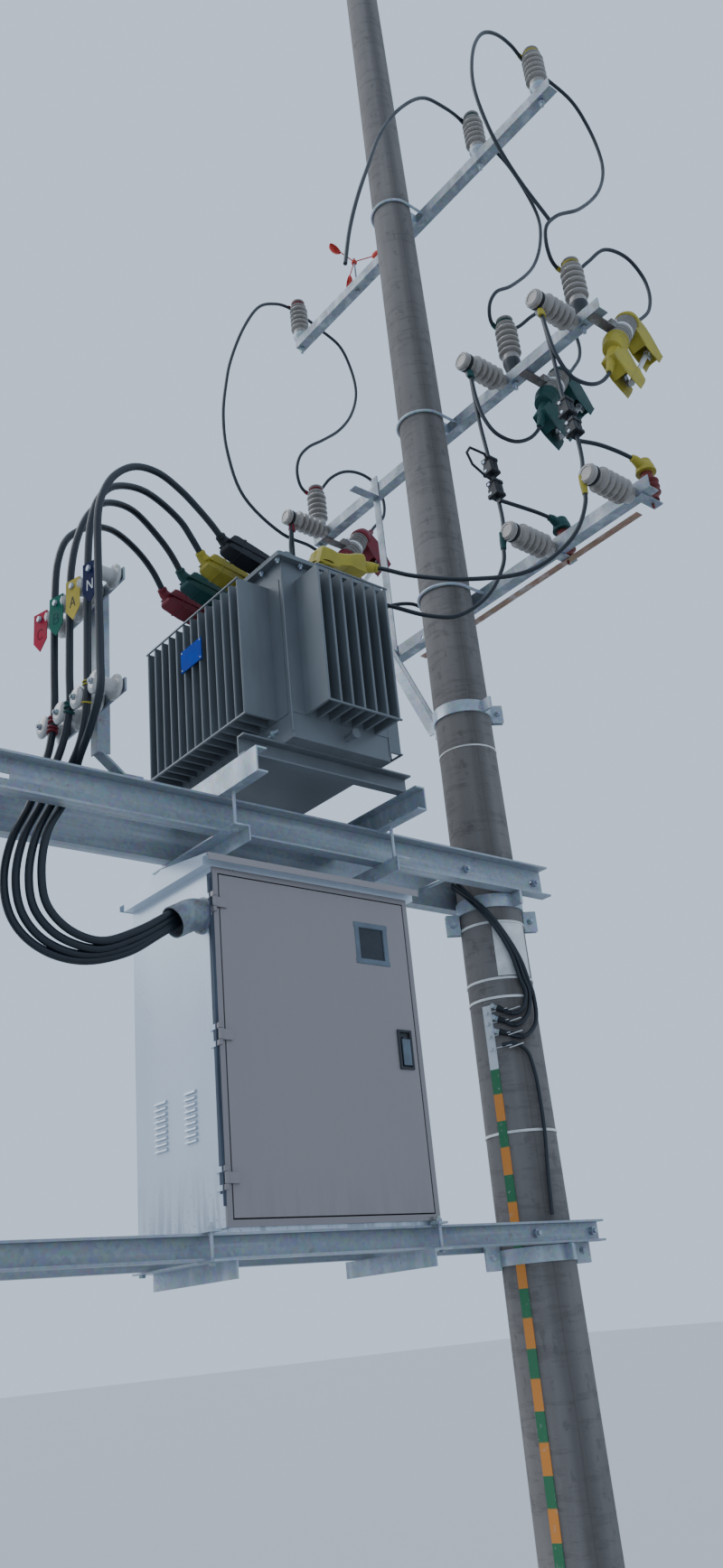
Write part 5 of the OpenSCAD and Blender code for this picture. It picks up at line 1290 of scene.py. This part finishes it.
def lower_boot(y):
    """Cap under a fuse's porcelain, with cheeks round the fork and a spout."""
    cap = turned([
        (0.044, -0.080), (0.049, -0.078), (0.054, -0.052), (0.0605, -0.028), (0.0625, -0.022),
        (0.0625, -0.008), (0.0655, -0.006), (0.0655, 0.000), (0.0635, 0.002), (0.0635, 0.006),
        (0.0655, 0.008), (0.0655, 0.014), (0.052, 0.016),
    ], (0, 0, 0))
    wedge = cover_shell([
        (0.000, -0.168, 0.000, -0.004, 0.037, 0.018), (0.040, -0.183, 0.040, -0.012, 0.038, 0.018),
        (0.108, -0.198, 0.108, -0.042, 0.038, 0.018),
    ])
    hood = hood_shell([
        (0.000, -0.176, 0.000, 0.010, 0.042, 0.018), (0.040, -0.190, 0.040, -0.004, 0.042, 0.018),
        (0.095, -0.204, 0.095, -0.031, 0.042, 0.018), (0.145, -0.202, 0.145, -0.056, 0.042, 0.018),
    ])
    outlet = nozzle(
        [(0.018, 0, -0.060), (0.022, 0, -0.130), (0.034, 0, -0.205), (0.0425, 0, -0.262)], 0.044, 0.0135
    )
    cheek = [(0.143, -0.202), (0.143, -0.066), (0.160, -0.066), (0.215, -0.094), (0.218, -0.130),
             (0.215, -0.196)]
    cheeks = [prism(cheek, start, start + 0.004) for start in (-0.042, 0.038)]
    return fuse_frame([cap, wedge, hood, outlet, *cheeks], y)


class TRANSFORMER_OT_covers(bpy.types.Operator):
    """Builds the soft covers in phase colours"""

    bl_idname = "transformer.covers"
    bl_label = "Soft covers"

    def execute(self, context):
        for phase in ("black", *PHASES):
            parts = lv_cover(LV_PLACES[phase], LEADS[phase + "_cable"])
            node = phase + "_cover"
            if phase in PHASES:
                node += "s"
                parts += hv_cover(HV_PLACES[phase], LEADS[phase + "_lower"])
                parts += arrester_cap(ARRESTER_PLACES[phase], LEADS[phase + "_branch"])
                parts += upper_boot(FUSE_PLACES[phase]) + lower_boot(FUSE_PLACES[phase])
            piece("moulded_" + node, parts, phase, replaces=(node,), bevel=0.0025)
        return {"FINISHED"}


class TRANSFORMER_OT_leads(bpy.types.Operator):
    """Builds the leads as smooth tubes along their routes"""

    bl_idname = "transformer.leads"
    bl_label = "Leads"

    def execute(self, context):
        sizes = context.scene.transformer_leads
        for name, suffix, diameter in (
            ("lv_cables", "_cable", sizes.cable),
            ("upper_leads", "_upper", sizes.lead),
            ("lower_leads", ("_lower", "_branch"), sizes.lead),
        ):
            routes = [route for key, route in LEADS.items() if key.endswith(suffix)]
            if suffix == "_upper":
                routes = [self.settled(route) for route in routes]
                routes[0] = np.vstack([RED_END, routes[0]])
            self.run(name, [tube(route, diameter / 2, sizes.sides) for route in routes])
        self.run("earth_leads", [
            tube(route, radius, sizes.sides)
            for route, radius in zip(EARTH_LEADS, (0.009, 0.009, 0.009, 0.008))
        ])
        self.clamps()
        self.ties()
        self.lugs()
        return {"FINISHED"}

    def run(self, node, tubes):
        """Smooth leads in place of a CAD node's."""
        piece("smooth_" + node, tubes, "jacket", replaces=(node,))

    def settled(self, route):
        """Route lowered at the insulator heads, to rest in their grooves."""
        route = route.copy()
        for groove, head in ((TOP_SEAT + GROOVE, TOP_LEADS), (FUSE_SEAT + GROOVE, FUSE_LEADS)):
            reach = np.hypot(route[:, 0] - PIN_X, route[:, 2] - head)
            route[:, 2] += (groove - head) * np.clip(1.6 - reach / 0.12, 0, 1)
        return route

    def clamps(self):
        """Two bolted halves round each lead, where two leads are joined."""
        blocks, bolts = [], []
        for name, index, share, length in LEAD_CLAMPS:
            route = LEADS[name]
            ahead = route[min(index + 1, len(route) - 1)]
            middle = route[index] + share * (ahead - route[index])
            along = unit(ahead - route[index - 1])
            side = unit(np.cross((0, 0, 1) if abs(along[2]) < 0.9 else (0, 1, 0), along))
            up = np.cross(along, side)
            axes = (side, up, along)
            for half in (-1, 1):
                blocks.append(block(middle + side * half * 0.0145, (0.027, 0.050, length), axes, 0.003))
                for end in (-1, 1):
                    place = middle + along * end * (length / 2 - 0.012) + side * half * 0.0150
                    blocks.append(block(place, (0.033, 0.060, 0.022), axes, 0.004))
                ear = middle + along * half * 0.020 + up * 0.034 + side * half * 0.006
                blocks.append(block(ear, (0.018, 0.030, 0.024), axes, 0.003))
            for step in (-0.28, 0.28):
                for half in (-1, 1):
                    centre = middle + along * length * step + side * half * 0.029 + up * 0.012
                    bolts.append(nut(centre, side, 0.016, 0.010))
        blocks.append(self.wire_loop())
        piece("bolted_lead_clamps", blocks, "black", replaces=("lead_clamps",))
        zinc_piece("clamp_bolts", bolts)

    def wire_loop(self):
        """Stiff loop of wire on the green clamp, straight between tight corners."""
        corners = np.array([
            (-0.116, -0.530, 5.235), (-0.165, -0.540, 5.285), (-0.262, -0.540, 5.280),
            (-0.290, -0.540, 5.238), (-0.262, -0.540, 5.180), (-0.180, -0.540, 5.145),
            (-0.116, -0.530, 5.150),
        ])
        here, ahead = corners[:-1], corners[1:]
        line = np.concatenate([here, ahead * 0.12 + here * 0.88, ahead * 0.88 + here * 0.12], 1)
        return swept(np.vstack([line.reshape(-1, 3), corners[-1:]]), 0.0065, 0.0065, sides=10)

    def ties(self):
        """Coloured wraps and black rings where leads are tied to porcelain."""
        rings = []
        for phase in PHASES:
            wraps = []
            for z, y in ((TOP_SEAT + NECK, TOP_PINS[phase]), (FUSE_SEAT + NECK, FUSE_PINS[phase])):
                wraps.append(torus((PIN_X, y, z), (0, 0, 1), 0.0405, 0.0038))
                wraps.append(torus((PIN_X, y, z - 0.007), (0.05, 0.08, 1), 0.0405, 0.0034))
                line = near(LEADS[phase + "_upper"], (PIN_X, y + 0.05, z + 0.003), 0.045)
                wraps.append(swept(line, 0.0125, 0.0125, sides=16))
            for z, y in [(z, places[phase]) for z, places in SIDE_ROWS if phase in places]:
                rings.append(torus((-0.131, y, z), (1, 0, 0), 0.0415, 0.0065))
                rings.append(torus((-0.126, y, z), (1, 0.06, 0.04), 0.0405, 0.0045))
                rings.append(torus((ARM_X - 0.041, y, z), (1, 0, 0), 0.0425, 0.0035))
                line = near(LEADS[phase + "_lower"], (-0.122, y, z - 0.045), 0.045)
                wraps.append(swept(line, np.linspace(0.025, 0.0135, len(line)), 0.0135, sides=16))
            piece(phase + "_ties", wraps, phase)
        piece("neck_rings", rings, "black")

    def lugs(self):
        """Lug plates, boots and bolts where cables meet the earthing strip."""
        plates, boots, bolts = [], [], []
        outward = unit((-0.8, -0.6, 0))
        for line in EARTH_LEADS[:3]:
            end, along = line[-1], unit(line[-1] - line[-2])
            boots.append(nozzle([line[-2], end - along * 0.012, end + along * 0.008], 0.0105, 0.0125))
            plate = np.array([end - along * 0.005, end + along * 0.034])
            plates.append(swept(plate, 0.010, 0.002, 4.0, 12))
            bolts.append(nut(end + along * 0.026 + outward * 0.006, outward, 0.019, 0.010))
        labels = []
        for line, index in zip(EARTH_LEADS, (-1, -1, -1, 0)):
            root = line[index] + (0.020, -0.022, -0.016)
            label = np.array([root, root + (0.036, -0.050, 0.012)])
            labels.append(swept(label, 0.0014, 0.0065, 5.0, 12, (0.8, 0.6, 0)))
        piece("cable_labels", labels, "white")
        piece("lug_boots", boots, "black")
        zinc_piece("lug_plates", plates + bolts)


class TRANSFORMER_OT_studio(bpy.types.Operator):
    """Sets the pale floor, the soft light and the camera"""

    bl_idname = "transformer.studio"
    bl_label = "Studio"

    def execute(self, context):
        studio = context.scene.transformer_studio
        self.floor(studio)
        self.light(studio)
        self.camera()
        return {"FINISHED"}

    def add(self, name, data):
        """New object in the scene that holds the data."""
        made = bpy.data.objects.new(name, data)
        bpy.context.scene.collection.objects.link(made)
        return made

    def floor(self, studio):
        """Wide flat square at the poles' feet."""
        f = Finish("StudioFloor", roughness=0.9)
        corners = [[(x, y, 0.0) for y in (-60, 60)] for x in (-60, 60)]
        vertices, faces = net(corners, closed=False, caps=False)
        mesh = bpy.data.meshes.new("studio_floor")
        mesh.from_pydata(vertices.tolist(), [], faces)
        mesh.materials.append(f.paint(f.mix(f.noise(0.5, 2), studio.floor, shade(studio.floor, 0.97))))
        floor = self.add("studio_floor", mesh)

    def light(self, studio):
        """Even pale sky and one large soft light from the left."""
        scene = bpy.context.scene
        scene.world = scene.world or bpy.data.worlds.new("Studio")
        scene.world.use_nodes = True
        sky = scene.world.node_tree.nodes["Background"]
        sky.inputs["Color"].default_value = (0.66, 0.80, 1.0, 1)
        sky.inputs["Strength"].default_value = studio.sky
        lamp = bpy.data.lights.new("key_light", "SUN")
        lamp.energy = studio.key
        lamp.angle = math.radians(60)
        self.add("key_light", lamp).rotation_euler = (math.radians(-28), math.radians(-38), 0)

    def camera(self):
        """Camera turned by yaw, then pitch, then rolled about its own axis."""
        yaw, pitch, roll = EYE_YAW, EYE_PITCH, EYE_ROLL
        forward = np.array([
            math.sin(yaw) * math.cos(pitch), math.cos(yaw) * math.cos(pitch), math.sin(pitch)
        ])
        right = np.array([math.cos(yaw), -math.sin(yaw), 0])
        up = np.cross(right, forward)
        side = math.cos(roll) * right + math.sin(roll) * up
        top = math.cos(roll) * up - math.sin(roll) * right
        lens = bpy.data.cameras.new("photo_camera")
        lens.lens = EYE_LENS
        lens.sensor_width = 36
        lens.clip_end = 500
        eye = self.add("photo_camera", lens)
        rows = zip(np.stack([side, top, -forward], 1), EYE)
        eye.matrix_world = Matrix([*((*row, place) for row, place in rows), (0, 0, 0, 1)])
        bpy.context.scene.camera = eye


STEPS = (
    TRANSFORMER_OT_steelwork,
    TRANSFORMER_OT_tank,
    TRANSFORMER_OT_cabinet,
    TRANSFORMER_OT_insulators,
    TRANSFORMER_OT_covers,
    TRANSFORMER_OT_leads,
    TRANSFORMER_OT_studio,
)
GROUPS = {
    "transformer_colours": PartColours,
    "transformer_leads": LeadSizes,
    "transformer_studio": StudioSettings,
}


class TRANSFORMER_PT_panel(bpy.types.Panel):
    """Lists the steps and settings in the sidebar"""

    bl_idname = "TRANSFORMER_PT_panel"
    bl_label = "Transformer"
    bl_space_type = "VIEW_3D"
    bl_region_type = "UI"
    bl_category = "Transformer"

    def draw(self, context):
        for name in GROUPS:
            group = getattr(context.scene, name)
            box = self.layout.box()
            for key in group.bl_rna.properties.keys():
                if key not in ("rna_type", "name"):
                    box.prop(group, key)
        for step in STEPS:
            self.layout.operator(step.bl_idname)


def register():
    for cls in (*GROUPS.values(), *STEPS, TRANSFORMER_PT_panel):
        bpy.utils.register_class(cls)
    for name, group in GROUPS.items():
        setattr(bpy.types.Scene, name, PointerProperty(type=group))


def unregister():
    for name in GROUPS:
        delattr(bpy.types.Scene, name)
    for cls in reversed((*GROUPS.values(), *STEPS, TRANSFORMER_PT_panel)):
        bpy.utils.unregister_class(cls)


def main():
    """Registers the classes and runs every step."""
    register()
    for step in STEPS:
        group, name = step.bl_idname.split(".")
        getattr(getattr(bpy.ops, group), name)()


if __name__ == "__main__":
    main()
